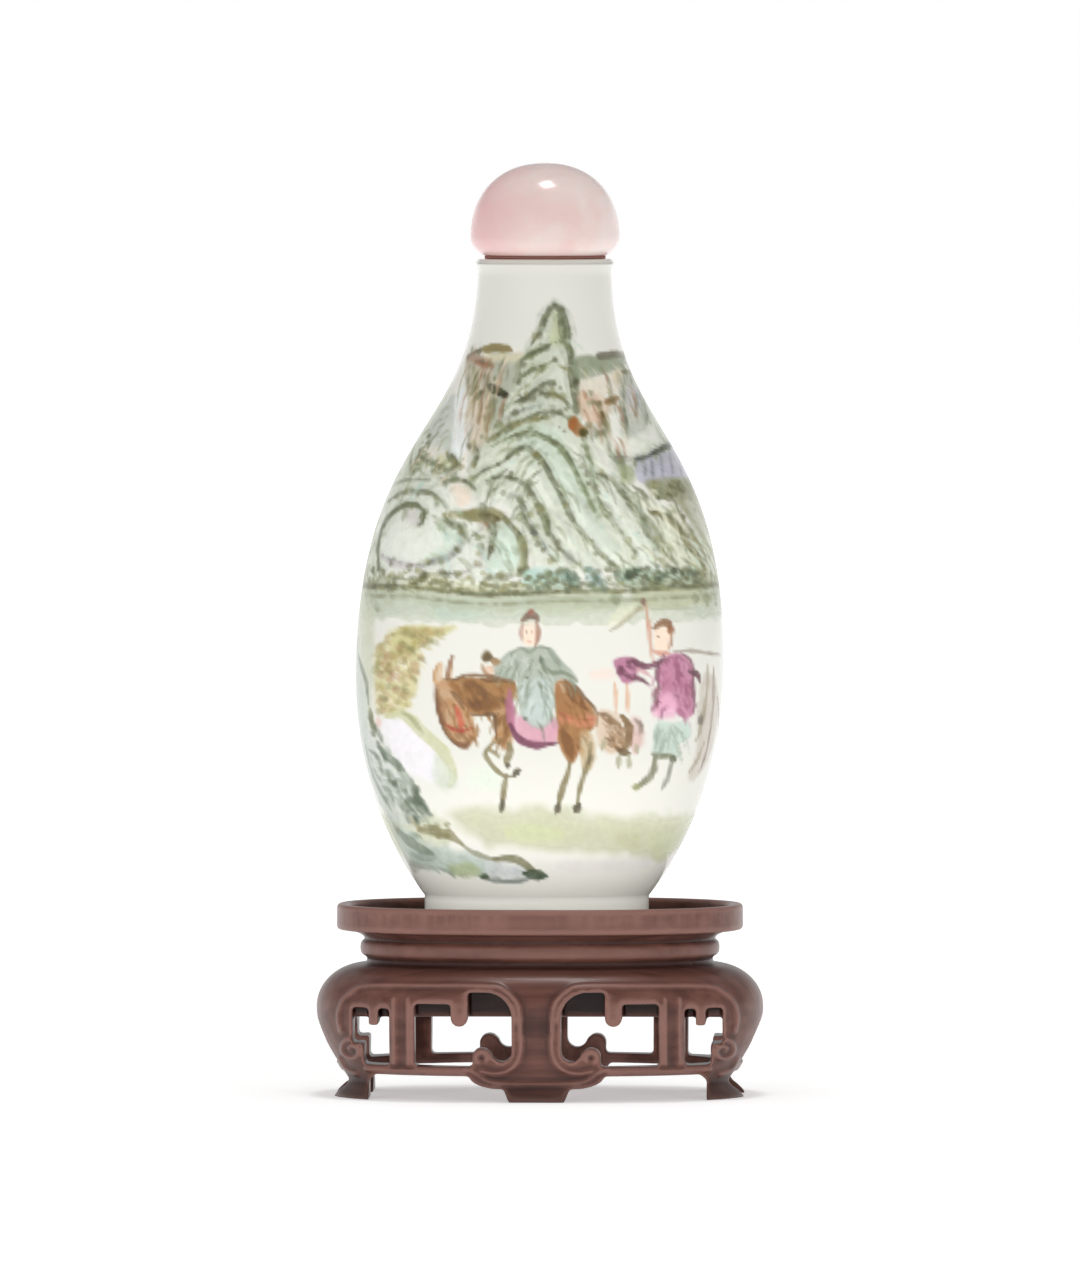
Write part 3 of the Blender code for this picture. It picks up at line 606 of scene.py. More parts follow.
def paint_right_cliffs():
    """A flat-topped cliff right of the peak, with iron-red rocks under it, and a roof among trees."""
    wash(srgb(142, 152, 124), [(2.9, 52.4), (5.2, 52.7), (8.2, 52.4), (7.4, 51.5), (5.8, 50.9), (3.4, 50.5)],
        0.85, 0.25)
    wash(srgb(112, 108, 88), [(5.1, 52.9), (6.4, 53.1), (8, 52.9), (8.2, 52.4), (6.6, 52.4), (5.4, 52.3)],
        0.85, 0.15)
    wash(srgb(226, 218, 200), [(3.6, 50.4), (5.6, 50.8), (7, 51.2), (7.4, 50.2), (6.6, 49.2), (3.8, 49.2)],
        0.8)
    wash(srgb(184, 188, 176), [(7.4, 51.2), (8.6, 51.2), (9.4, 49.6), (9.8, 47.6), (9.6, 45.8), (8, 45),
        (7.4, 48)], 0.75)
    wash(srgb(190, 188, 196), [(7.9, 49.6), (9, 49.4), (9, 47.6), (8, 47.6)], 0.7)
    wash(srgb(214, 196, 160), [(6.7, 51.2), (7.4, 51.4), (7.5, 50.2), (6.8, 50)], 0.6)
    ridge(srgb(116, 106, 62), [(7.3, 51.1), (7.9, 51.1), (8.4, 50.9)], 0.4, 0.75)
    for across, top, low in ((7.5, 50.8, 49.6), (8.2, 50.8, 50), (7.6, 49.4, 48), (7.7, 47.8, 46.8),
            (7.9, 47, 45.4), (9, 50.2, 48.6), (9.5, 49.2, 47.4), (9.7, 47.4, 46.2), (8.7, 49, 47.2)):
        ridge(srgb(112, 116, 92), [(across, top), (across + 0.1, low)], 0.4, 0.65)
    wash(srgb(220, 190, 162), [(3.7, 49.2), (5.4, 49), (6.2, 48), (5.4, 46.4), (4.2, 46.6), (3.6, 47.8)],
        0.75)
    ridge(srgb(176, 132, 100), [(3.9, 49.4), (4.4, 48.6), (5.2, 48.3), (6, 48.2)], 0.45, 0.65)
    ridge(srgb(140, 104, 58), [(5.9, 48.3), (6.5, 48.5), (7.2, 48.8)], 0.6, 0.8)
    ridge(dark_brown, [(5.65, 47.4), (5.85, 46.8), (6, 46.2)], 0.5, 0.8)
    ridge(olive, [(6, 46.2), (6.1, 45.5), (5.8, 45)], 0.45, 0.6)
    wash(srgb(150, 98, 48), [(2.6, 46.4), (3.1, 47.1), (3.8, 46.4), (4.5, 45.8), (4.2, 45.2), (3.3, 45.4)],
        0.88, 0.2)
    dab(srgb(72, 64, 22), (4.0, 45.6), 0.42, 0.85)
    dab(srgb(160, 96, 44), (3.0, 46.3), 0.36, 0.7, 1.4)
    ridge(srgb(150, 138, 110), [(4.6, 46.4), (5.2, 45.6), (5.8, 45.1), (6.4, 44.4)], 0.35, 0.55)
    wash(srgb(232, 234, 220), [(5, 44.8), (6.6, 45.2), (8.6, 45), (9.8, 44.4), (8, 43.5), (6, 43.6)], 0.7)
    ridge(moss, [(7.2, 43.6), (7.7, 42.8), (7.9, 41.8), (7.9, 40.8)], 0.45, 0.65)
    wash(srgb(150, 160, 120), [(7.4, 42.4), (8.6, 42.2), (8.8, 40.9), (7.6, 40.8)], 0.7)
    ridge(srgb(140, 140, 124), [(6.9, 43.2), (8, 43.1), (9.2, 43)], 0.35, 0.65)
    wash(lavender, [(9.2, 42.9), (10.4, 43.2), (12.4, 43.9), (13.2, 42.6), (13.9, 41.2), (12.4, 41.2),
        (9.8, 40.9), (9, 41.6)], 0.9, 0.2, 0.15)
    for top, low in (((9.7, 42.9), (9.8, 41.4)), ((10.3, 43.1), (10.5, 41.2)), ((11.1, 43.4), (11.4, 41.3)),
                     ((11.9, 43.6), (12.3, 41.4)), ((12.5, 43.5), (13.1, 41.5))):
        ridge(srgb(136, 136, 148), [top, low], 0.3, 0.7)
    ridge(srgb(74, 80, 76), [(8.9, 43), (9.8, 43.2), (10.8, 43.7), (11.6, 44.1), (12.5, 44.3)], 0.45, 0.9,
        (0.3, 0.7))
    wash(srgb(132, 132, 98), [(10, 41), (12.6, 41.2), (14.6, 41), (15, 39.4), (12.4, 39.2), (10.4, 39.8)],
        0.75, 0.3)
    leaves = (dark_olive, olive, srgb(100, 100, 64), moss)
    dabs(leaves, [(10.2, 40.9), (14.4, 41.2), (15.2, 39.2), (13, 38.8), (10.6, 39.5)], 60, 0.24, 0.65)
    dabs((olive, dark_olive), [(14.2, 40.6), (15.4, 37.6), (14.8, 37.4), (13.6, 40)], 24, 0.24, 0.5)
    wash(srgb(172, 172, 150), [(12.6, 39.6), (14.8, 39.6), (15.6, 36.4), (15, 35.6), (13.8, 37.6)], 0.6)
    wash(srgb(226, 226, 200), [(9.2, 40), (10.8, 38.8), (12.8, 38), (14, 36), (12.6, 36.8), (11.2, 37.6),
        (9.8, 38.4)], 0.6)
    wash(srgb(214, 218, 186), [(11, 37.4), (12.6, 36.6), (14.2, 34.2), (15.4, 32.6), (12.6, 33.2), (11, 35)],
        0.6)
    ridge(srgb(112, 106, 64), [(10.5, 38.1), (11.3, 37.9), (12.2, 37.4), (12.9, 36.6), (13.5, 35.7),
        (14.1, 34.8), (14.9, 33.7), (15.6, 32.6)], 0.6, 0.85, (0.7, 0.4))
    ridge(srgb(140, 136, 100), [(12.2, 38.8), (13, 38), (13.6, 37), (14.4, 35.6), (15.2, 34.4)], 0.35, 0.6)
    ridge(ink, [(10.2, 37.6), (11, 36.2), (11.6, 35), (12.2, 34), (12.9, 33.2)], 0.5, 0.55)
    ridge(srgb(150, 156, 130), [(9, 39.8), (9.3, 38.4), (9.9, 37), (10.6, 35.8), (11.2, 34.6)], 0.7, 0.5)
    cliff = [(3.2, 52.4), (8.2, 52.4), (9.6, 48), (9.4, 45.4), (6.4, 44.8), (3.8, 46.6)]
    hatch((ink, olive, russet, srgb(232, 224, 206), srgb(226, 218, 200)), cliff, 50, 0, 1.1, 0.26, 0.45, 2.4)
    slope = [(7, 42), (9.4, 41), (13, 39), (15.6, 33), (10, 33), (8.4, 37)]
    hatch((ink, olive, srgb(232, 234, 214), srgb(228, 230, 206), jade), slope, 70, 6, 1.5, 0.28, 0.48, 1.3)


def paint_boulders():
    """Round swirling boulders at the left, under a brown ledge."""
    wash(srgb(222, 226, 214), [(-15.3, 32), (-15.4, 36), (-14.4, 40.4), (-11, 41.6), (-8.4, 40.4),
        (-6.6, 37), (-2, 37), (-1.4, 33), (-4, 31.2), (-12, 31.4)], 0.7, 0.4, 0.4, 2)
    wash(jade, [(-10.8, 33.4), (-9.6, 36.8), (-8.2, 37), (-7.2, 35.6), (-8, 34.2)], 0.75)
    wash(srgb(203, 222, 206), [(-4.1, 36.8), (-2.8, 36.9), (-1.8, 35.4), (-2, 33), (-4.6, 32.8), (-4, 34.6)],
        0.85)
    wash(srgb(206, 200, 196), [(-12.6, 38.4), (-11.4, 38.5), (-10.8, 37.6), (-11.6, 36.8), (-12.6, 37.4)],
        0.7)
    ridge(ink, [(-15.2, 32.6), (-15.2, 34), (-15.1, 35.6), (-14.6, 36.9), (-13.8, 38), (-12.9, 38.6),
        (-12, 38.8), (-11.2, 38.5), (-10.8, 37.9), (-10.9, 37.2), (-11.4, 36.8)], 0.42, 0.8, (0.8, 0.5))
    ridge(srgb(128, 130, 106), [(-14.4, 38.9), (-13.6, 39.5), (-12.6, 39.9), (-11.4, 40), (-10.2, 39.8),
        (-9.3, 39.2), (-8.7, 38.4)], 0.42, 0.75)
    ridge(srgb(144, 146, 120), [(-14, 40.4), (-13, 40.9), (-11.8, 41.1), (-10.4, 41)], 0.34, 0.6)
    ridge(stone_grey * 0.8, [(-11, 33), (-9.9, 33.5), (-8.7, 33.8), (-7.7, 34.5), (-7.1, 35.3), (-7, 36.1),
        (-7.5, 36.9), (-8.3, 37.3)], 0.6, 0.75)
    ridge(ink, [(-8.8, 37.4), (-8.1, 36.9), (-7.4, 36.6), (-7, 36)], 0.6, 0.7)
    ridge(srgb(178, 166, 170), [(-14.9, 33.9), (-13.8, 33.4), (-12.4, 33.1), (-10.9, 33.2)], 0.5, 0.6)
    ridge(srgb(190, 184, 180), [(-8.6, 32.4), (-7.2, 32.4), (-6, 33), (-5.4, 33.8), (-5.3, 34.8),
        (-5.6, 35.8)], 0.4, 0.6)
    ridge(stone_grey, [(-6.8, 35.2), (-6.1, 36), (-5.3, 36.6)], 0.4, 0.6)
    wash(srgb(126, 120, 72), [(-8.9, 38.1), (-7.6, 38.2), (-5.6, 38.5), (-4.2, 38.5), (-3.2, 38),
        (-3.2, 37.4), (-4.4, 37.1), (-5.8, 37.3), (-7.4, 37.5), (-8.8, 37.6)], 0.85, 0.2)
    ridge(srgb(84, 70, 28), [(-5.4, 37.9), (-4.6, 37.6), (-3.7, 37.5)], 0.75, 0.8)
    ridge(srgb(150, 104, 76), [(-5.1, 37.1), (-4.4, 36.9)], 0.35, 0.6)
    ridge(ink, [(-5.4, 38.8), (-5, 38.2)], 0.6, 0.5)
    ridge(dark_olive, [(-3.2, 37.6), (-2.5, 36.8), (-1.8, 36), (-1.3, 35.2)], 0.42, 0.7, (0.8, 0.6))
    ridge(ink, [(-4.2, 37), (-4.2, 36), (-4.4, 35), (-4.7, 33.8)], 0.45, 0.75)
    dab(dark_olive, (-4.4, 34.7), 0.3, 0.6, 1.3)
    wash(srgb(138, 142, 96), [(-1.9, 35.8), (-1.1, 35.6), (-0.9, 34), (-1, 32.3), (-1.9, 32.3), (-1.7, 34)],
        0.8, 0.25)
    dab(dark_olive, (-1.5, 32.7), 0.38, 0.75, 0.9)
    ridge(srgb(112, 112, 76), [(-1.4, 35.4), (-1.2, 34.2), (-1.3, 33)], 0.4, 0.6)
    dab(srgb(84, 92, 80), (-0.4, 36.2), 0.36, 0.7, 0.8)
    wash(srgb(212, 214, 180), [(-12.4, 31.8), (-8.4, 32), (-5, 31.6), (-1.8, 31.6), (-2, 30.6), (-7, 30.7),
        (-12.6, 30.4)], 0.65)
    shrub = (dark_olive, olive, srgb(110, 112, 66))
    dabs(shrub, [(-11.8, 32), (-10.8, 32.2), (-10.5, 30.8), (-11.8, 30.8)], 9, 0.34, 0.7)
    dabs((ink, moss), [(-14.2, 32.2), (-12.8, 32.2), (-13, 31.2), (-14.2, 31.4)], 5, 0.26, 0.6)
    dabs((ink, dark_olive), [(-15.8, 32.2), (-14.6, 31.2), (-14.4, 30.2), (-15.2, 28.6), (-16.2, 28.8),
        (-16.5, 30.6)], 26, 0.34, 0.65)
    dabs((olive, moss), [(-9.6, 31.8), (-8, 31.8), (-7.4, 30.6), (-8.6, 31)], 7, 0.26, 0.6)
    ridge(srgb(140, 140, 112), [(-9.4, 31.6), (-8.4, 31.3), (-7.8, 30.8)], 0.4, 0.6)
    swirl = [(-15, 33), (-14.6, 39), (-11, 41), (-7, 38.6), (-2, 37.4), (-1.4, 32.6)]
    hatch((stone_grey, moss, srgb(232, 234, 224), jade, turquoise), swirl, 70, -10.5, 1.3, 0.4, 0.36, 1.2)
    wash(srgb(226, 230, 218), [(-13.6, 34), (-13.4, 36), (-11.8, 36.6), (-9.6, 36.2), (-9, 34.8),
        (-11, 33.8)], 0.7, 0.4)
    boulder = [(-15, 32.6), (-15.2, 34.6), (-14.8, 36.8), (-13.6, 38.2), (-12.2, 38.8), (-11, 38.4),
        (-10.7, 37.6)]
    stroke(ink, boulder, 0.42, 0.8, (0.8, 0.5), 0.5)


def paint_shore():
    """The far shore with its dark shrubs, and the strip of water under it."""
    wash(srgb(190, 199, 184), [(-16.4, 30.2), (-12, 30.4), (-6, 30.3), (0, 30.6), (7, 30.2), (7.6, 29),
        (4, 28.4), (-2, 28.4), (-8, 28.3), (-14.6, 28.8)], 0.75, 0.5, 0.4, 1.6)
    wash(srgb(180, 203, 194), [(-10, 29.6), (-6.4, 29.9), (-5, 29), (-6, 28.1), (-9, 28.2)], 0.65, 0.5)
    wash(srgb(182, 206, 206), [(-3.2, 29.9), (-1, 30), (-0.8, 29.3), (-3, 29.3)], 0.5)
    wash(srgb(178, 186, 152), [(0, 30.2), (4, 30.6), (7, 30.5), (7.4, 29.3), (3, 28.8), (0.2, 29)], 0.65, 0.4)
    wash(turquoise, [(-1.4, 32.6), (0.4, 33), (2.6, 32.4), (4, 31.4), (2, 31), (-1, 31.1)], 0.75, 0.35)
    wash(srgb(160, 188, 186), [(4.4, 33.2), (5.4, 32.8), (6.4, 31.2), (5, 31)], 0.7, 0.35)
    wash(srgb(214, 216, 196), [(-1, 31), (2.6, 31), (5, 30.8), (6.8, 30.8), (4, 30.4), (0, 30.5)], 0.7, 0.3)
    wash(srgb(152, 172, 148), [(7.6, 32.6), (10, 32.8), (14, 32.4), (14.6, 31.4), (11, 31), (7.6, 31.3)],
        0.7, 0.35)
    wash(srgb(198, 194, 152), [(9.4, 30.8), (13, 31), (15.6, 30.6), (15.6, 29.6), (12, 29.2), (9.4, 29.3)],
        0.75, 0.3)
    dots = (srgb(70, 84, 58), dark_olive, moss, srgb(96, 112, 84))
    stroke(srgb(48, 70, 52), [(2.7, 32.5), (3, 31.7), (3.2, 31.2), (3.7, 31)], 0.35, 0.85)
    stroke(srgb(96, 122, 118), [(5.2, 32.4), (5.7, 31.7), (6, 31.2)], 0.4, 0.6)
    dab(srgb(48, 64, 40), (8.5, 32.3), 0.5, 0.85, 0.9)
    dab(srgb(60, 74, 46), (9.1, 32.7), 0.36, 0.75, 0.8)
    dabs(dots, [(8, 33), (11, 32.9), (14.8, 33), (15.4, 31.6), (11, 31), (7.8, 31.6)], 60, 0.24, 0.6)
    dab(srgb(46, 60, 40), (11.1, 31.8), 0.36, 0.7)
    dab(srgb(50, 56, 36), (12.6, 32.6), 0.36, 0.7)
    dab(srgb(70, 78, 40), (7.3, 30.1), 0.52, 0.8)
    dabs((olive, dark_olive, srgb(112, 112, 62)), [(14.6, 33.2), (16.2, 33), (17, 30.2), (16.4, 29),
        (14.2, 29.8)], 50, 0.3, 0.6)
    dab(srgb(92, 94, 40), (15.7, 29.9), 0.6, 0.7, 0.7)
    stroke(srgb(112, 112, 92), [(0, 30.5), (0.6, 30.6), (1.2, 30.5)], 0.4, 0.6)
    stroke(srgb(150, 150, 118), [(10.6, 29), (12.4, 29.2), (14.4, 29.1)], 0.4, 0.5)
    dabs((moss, srgb(130, 140, 118)), [(-1, 32.2), (7.6, 32.2), (7.6, 30.8), (-1, 30.9)], 36, 0.16, 0.5)
    stroke(dark_olive, [(-8.2, 30.9), (-6.6, 30.55), (-5.2, 30.4), (-4, 30.45), (-3, 30.7), (-2.1, 30.8),
        (-1.4, 30.3)], 0.34, 0.75)
    dab(dark_olive, (-4.4, 30.4), 0.34, 0.7, 0.7)
    dab(dark_olive, (-2.0, 30.65), 0.36, 0.75, 0.8)
    dabs((moss, olive, ink), [(-16, 30.8), (-9, 31), (-1, 31), (-1, 30.2), (-9, 30.1), (-16, 30)], 60, 0.16,
        0.45)
    stroke(srgb(134, 134, 118), [(-1, 30.2), (1, 30.1), (4, 30.3), (6.4, 30.4)], 0.25, 0.4)
    strand = [(-16.6, 31), (-12, 31.1), (-8, 30.7), (-4, 30.5), (0, 30.7), (4, 30.8), (8, 30.8), (12, 31),
        (16.6, 31.2)]
    under = [(across, up - 0.9) for across, up in strand]
    stroke(srgb(158, 162, 130), [(across, up - 0.4) for across, up in strand], 2.0, 0.5, (1, 1), 0.7)
    stroke(srgb(182, 190, 166), [(across, up - 1.6) for across, up in strand], 2.4, 0.5, (1, 1), 0.5)
    stroke(srgb(92, 94, 58), strand, 0.34, 0.85, (1, 1), 0.7)
    stroke(srgb(120, 122, 92), under, 0.3, 0.5, (1, 1), 0.9)
    thicket = [(-16.4, 32.8), (-1.6, 32.4), (-1, 30.8), (-16.4, 30.8)]
    dabs((dark_olive, olive, srgb(124, 122, 76), ink), thicket, 110, 0.3, 0.42)
    dabs((dark_olive, moss, srgb(92, 112, 92), ink), [(-1, 32.8), (15.6, 33.2), (16, 31), (-1, 30.9)], 120,
        0.32, 0.48)
    hatch((dark_olive, olive), [(-16, 31.6), (16, 31.6), (16, 30.8), (-16, 30.8)], 60, 0, 0.9, 0.22, 0.6, 0.2)


def paint_donkey():
    """A brown donkey that walks to the left, with its off foreleg bent."""
    wash(srgb(208, 176, 140), [(-9.6, 23.4), (-8.9, 24.2), (-8.6, 22.6), (-8, 24.6), (-7.9, 22.4),
        (-9.4, 21.8)], 0.75, 0.15)
    stroke(ochre, [(-9.2, 24), (-9.6, 22.9), (-9.4, 21.9)], 0.3, 0.8)
    stroke(srgb(136, 96, 66), [(-7.9, 24.7), (-8.2, 23.5), (-8.4, 22.2)], 0.45, 0.85)
    wash(srgb(182, 140, 98), [(-9.3, 22), (-8.4, 22.6), (-7.4, 21.9), (-6.6, 20.6), (-6.2, 19.4),
        (-5.7, 18.2), (-5.6, 17.1), (-6.3, 16.3), (-7.1, 16.4), (-8, 17.1), (-8.8, 18.4), (-9.2, 20)], 0.92,
        0.15)
    wash(srgb(144, 96, 40), [(-8.2, 22.2), (-7, 22.7), (-5, 22.7), (-3, 22.5), (-1.9, 22.1), (-1.9, 20.9),
        (-2.6, 20), (-4, 19.5), (-5.4, 19.3), (-6.3, 19.6), (-7, 20.6), (-7.6, 21.4)], 0.95, 0.15, 0.3, 0.8)
    wash(srgb(112, 70, 18), [(-6.8, 22.2), (-5.4, 22.4), (-4.8, 21.4), (-4, 21), (-3.6, 20.1), (-5, 19.5),
        (-6.1, 20)], 0.8, 0.3)
    wash(srgb(164, 116, 56), [(-4.4, 22.4), (-2.8, 22.3), (-2.6, 21.4), (-3.8, 21.2)], 0.6, 0.3)
    stroke(srgb(96, 56, 14), [(-5.2, 22.6), (-4.4, 22.4), (-3.2, 22.5), (-2, 22.2)], 0.3, 0.7)
    stroke(srgb(130, 84, 40), [(-9.3, 21.6), (-9.2, 20), (-8.8, 18.6), (-8.1, 17.3), (-7.2, 16.5),
        (-6.3, 16.4)], 0.4, 0.8)
    stroke(srgb(150, 110, 66), [(-5.5, 18.3), (-5.5, 17.4), (-5.9, 16.8)], 0.3, 0.7)
    dab(dark_brown, (-7.7, 20.1), 0.2, 0.85)

    wash(srgb(172, 126, 78), [(-3.8, 19.8), (-2.2, 20.2), (-2, 18.6), (-2.1, 17.2), (-2.6, 16), (-3.6, 16.6),
        (-3.7, 18.4)], 0.85, 0.25)
    stroke(srgb(118, 78, 24), [(-2.7, 19.6), (-2.8, 18.4), (-2.6, 17.2)], 0.5, 0.75)
    leg, hoof = srgb(118, 106, 66), srgb(74, 66, 46)
    stroke(leg, [(-3.4, 17), (-4.2, 16.4), (-4.7, 15.6), (-4.3, 14.8), (-3.6, 14), (-2.8, 13.5),
        (-1.9, 13.5)], 0.35, 0.8)
    stroke(hoof, [(-2, 13.6), (-1.6, 14), (-1.4, 14.1)], 0.45, 0.85)
    stroke(leg, [(-2.5, 16.6), (-2.4, 15.8), (-2.7, 15), (-2.6, 14.4)], 0.6, 0.7)
    stroke(leg, [(-4.5, 16), (-3.8, 15.7), (-3.4, 15.2)], 0.35, 0.6)
    dab(hoof, (-2.6, 14.5), 0.24, 0.75)
    stroke(leg, [(-2.7, 13.6), (-2.9, 12.6), (-3, 11.4), (-3.1, 10.4)], 0.4, 0.75)
    stroke(hoof, [(-3.05, 11.2), (-3.1, 10.6), (-3.2, 10.1)], 0.5, 0.8)
    wash(srgb(152, 100, 48), [(1.7, 21.8), (2.2, 22.6), (3.1, 22.3), (4, 21.2), (5, 20.1), (5.6, 19.2),
        (5.4, 18.1), (4.4, 17.2), (3.9, 15.4), (3.3, 14.7), (2.6, 15.6), (2, 17), (1.8, 19.6)], 0.95, 0.18)
    stroke(srgb(112, 66, 16), [(2.7, 22.3), (3.3, 21.4), (4.1, 20.4), (4.8, 19.7)], 0.8, 0.75)
    stroke(srgb(112, 68, 20), [(2.5, 17.8), (3, 16.6), (3.4, 15.2)], 0.9, 0.7)
    wash(srgb(204, 128, 96), [(2.2, 19.3), (3.8, 19.2), (5.6, 19.2), (5.5, 18.3), (3.8, 18.2), (2.4, 18.6)],
        0.7, 0.25)
    stroke(srgb(182, 92, 62), [(2.1, 19.6), (3, 19.1), (4.2, 18.8), (5.5, 18.8)], 0.25, 0.7)
    wash(srgb(188, 164, 124), [(4.2, 17.6), (5.2, 17.4), (5.5, 15.2), (4.8, 14), (4.2, 14.8)], 0.75, 0.25)
    stroke(leg, [(3.2, 14.9), (3, 13.7), (2.6, 12.6), (2.3, 11.4), (2.1, 10.2)], 0.45, 0.8)
    stroke(hoof, [(2.2, 10.9), (2.05, 10.3), (1.9, 10)], 0.6, 0.8)
    stroke(leg, [(5.1, 16.6), (5, 15.2), (4.7, 14.1), (4.3, 12.8), (4, 11.4), (3.9, 10.4)], 0.42, 0.75)
    stroke(hoof, [(4.1, 10.8), (3.9, 10.4), (3.7, 10.1)], 0.65, 0.8)
    stroke(hoof, [(5.2, 15.4), (4.9, 14.6)], 0.4, 0.5)
    fur = (srgb(104, 64, 18), srgb(126, 82, 34), srgb(168, 118, 62))
    hatch(fur, [(-8, 22.2), (-5, 22.7), (-2, 22), (-2.4, 20), (-5.6, 19.4), (-7.4, 21)], 46, -9, 0.8, 0.24,
        0.6)
    hatch(fur, [(-9, 21.4), (-7.4, 21.8), (-5.9, 19), (-6, 16.8), (-8, 17.4)], 34, -9, 0.7, 0.22, 0.5, 1.6)
    hatch(fur, [(2, 22), (3, 22), (5.2, 19.6), (4.4, 17.4), (3.2, 15), (2, 17.6)], 40, 0, 0.8, 0.24, 0.6, 1.3)
    hatch(fur, [(-3.7, 19.6), (-2.1, 20), (-2.2, 16.8), (-3.6, 16.8)], 16, 0, 0.7, 0.22, 0.6, 1.8)
    edge = srgb(92, 56, 20)
    stroke(edge, [(-8.6, 22.5), (-7.8, 22.5), (-6.6, 22.9), (-5, 22.9), (-3, 22.7), (-2, 22.4)], 0.26, 0.8)
    stroke(edge, [(-6.2, 19.3), (-5.2, 19.2), (-4, 19.3), (-3.8, 18.4), (-3.7, 17)], 0.24, 0.75)
    stroke(edge, [(-9.5, 22), (-9.4, 20.4), (-9, 18.8), (-8.4, 17.4), (-7.4, 16.4), (-6.4, 16.2)], 0.24, 0.8)
    stroke(edge, [(2.6, 22.6), (3.6, 22), (4.6, 20.8), (5.6, 19.6), (5.7, 18.2)], 0.24, 0.8)
    stroke(edge, [(-7.9, 21.4), (-7.2, 20.6), (-6.8, 19.8)], 0.4, 0.6)
    stroke(srgb(196, 80, 54), [(-7.5, 20), (-7.2, 19.2), (-7, 18.3), (-6.9, 17.6)], 0.5, 0.7)
    stroke(srgb(160, 52, 34), [(-8.6, 18.4), (-7.8, 17.9), (-6.9, 17.7), (-6, 18)], 0.26, 0.75)
    stroke(srgb(112, 70, 40), [(-7.4, 16.5), (-6.7, 16.3), (-6.2, 16.7)], 0.6, 0.6)
    stroke(srgb(126, 84, 46), [(-9.1, 21), (-8.9, 19.6), (-8.5, 18.4)], 0.7, 0.5, (0.4, 0.3), 0.6)


def paint_rider():
    """A seated traveller in a grey-green robe on a rose saddle cloth, with a small bundle at the front."""
    wash(rose, [(-2.2, 20.4), (-1.6, 19.2), (0, 18.8), (1.8, 19), (2, 17.2), (1.4, 16.4), (0, 16.2),
        (-1.6, 16.6), (-2.3, 18)], 0.9, 0.15, 0.2)
    stroke(plum, [(-2.5, 21.6), (-2.5, 20), (-2.4, 18.7), (-2, 17.5)], 0.65, 0.75)
    stroke(dark_plum, [(-2.4, 18.4), (-1.9, 17.4), (-1.1, 16.7), (0, 16.4), (1.1, 16.5), (2, 16.6)], 0.55,
        0.9)
    wash(srgb(160, 169, 154), [(-2.6, 25.1), (-1.6, 25.4), (0.2, 25.6), (1.4, 25.4), (2.2, 24.4),
        (3.2, 23.5), (3.9, 22.6), (3.5, 22.1), (2.6, 22.6), (1.7, 22.2), (1.6, 20.6), (1.5, 18.8), (0.4, 18),
        (-0.6, 18.4), (-1.5, 19.6), (-1.8, 21.6), (-2, 22.5), (-3.4, 22.9), (-4.2, 23.4), (-3.8, 24.1)],
        0.92, 0.15)
    wash(srgb(194, 208, 204), [(-1.4, 22.2), (0.8, 22.6), (1.5, 21), (1.4, 19), (0.4, 18.2), (-0.6, 18.6),
        (-1.3, 20)], 0.7)
    fold = srgb(104, 114, 90)
    stroke(fold, [(0.3, 24.8), (0.7, 23.7), (1.4, 23.2), (2.4, 23.2), (3.2, 22.9), (3.8, 22.4)], 0.4, 0.7)
    stroke(srgb(126, 136, 120), [(0.9, 25.5), (1.6, 24.7), (2.3, 23.9)], 0.4, 0.55)
    stroke(srgb(126, 136, 120), [(-2.4, 24.9), (-1.8, 23.9), (-1.6, 22.8)], 0.35, 0.5)
    stroke(srgb(138, 148, 136), [(-0.4, 24.6), (-0.6, 23.2), (-0.9, 21.8), (-0.9, 20)], 0.3, 0.45)
    stroke(srgb(138, 148, 136), [(0.9, 22.4), (0.9, 20.6), (0.6, 19)], 0.3, 0.45)
    dab(srgb(96, 104, 88), (-0.9, 22.8), 0.2, 0.6, 0.6)
    dab(srgb(96, 110, 96), (-1.0, 18.9), 0.22, 0.6, 0.7)
    dab(srgb(92, 104, 86), (0.4, 24.4), 0.28, 0.6)
    dab(peach, (-0.7, 26.8), 0.78, 0.9, 1.2)
    stroke(srgb(150, 104, 84), [(-0.1, 28), (0.1, 27.2), (0.05, 26.3), (-0.2, 25.6)], 0.4, 0.75)
    stroke(srgb(176, 140, 122), [(-1.35, 27.8), (-1.5, 27), (-1.4, 26.2)], 0.4, 0.65)
    for across in (-0.95, -0.45):
        dab(srgb(120, 96, 82), (across, 27), 0.1, 0.6)
    stroke(srgb(198, 140, 122), [(-0.9, 26.1), (-0.5, 26.1)], 0.16, 0.5)
    stroke(srgb(110, 84, 68), [(-1.4, 28.1), (-0.7, 28.6), (-0.1, 28.4), (0.1, 28)], 0.6, 0.85)
    dab(srgb(150, 92, 76), (-0.6, 28.9), 0.3, 0.7)
    stroke(srgb(116, 128, 108), [(-2.4, 25), (-1.5, 25.5), (-0.7, 25.1), (0.2, 25.6), (1.4, 25.4)], 0.3, 0.6)
    robe = [(-2.4, 25), (1.4, 25.2), (3.4, 22.6), (1.6, 22), (1.4, 18.6), (-0.6, 18.6), (-1.8, 22),
        (-3.8, 23.4)]
    hatch((fold, srgb(138, 150, 136), srgb(206, 214, 206)), robe, 60, 0, 0.8, 0.2, 0.5, 2.0)
    dab(srgb(84, 62, 24), (-4.65, 24.7), 0.5, 0.85, 1.1)
    dab(srgb(146, 112, 70), (-3.8, 24.2), 0.48, 0.8, 0.7)
    dab(srgb(214, 178, 150), (-4.4, 23.5), 0.5, 0.7, 0.8)
    stroke(srgb(140, 100, 60), [(-5.1, 24), (-4.9, 23.3), (-4.3, 22.8)], 0.25, 0.6)


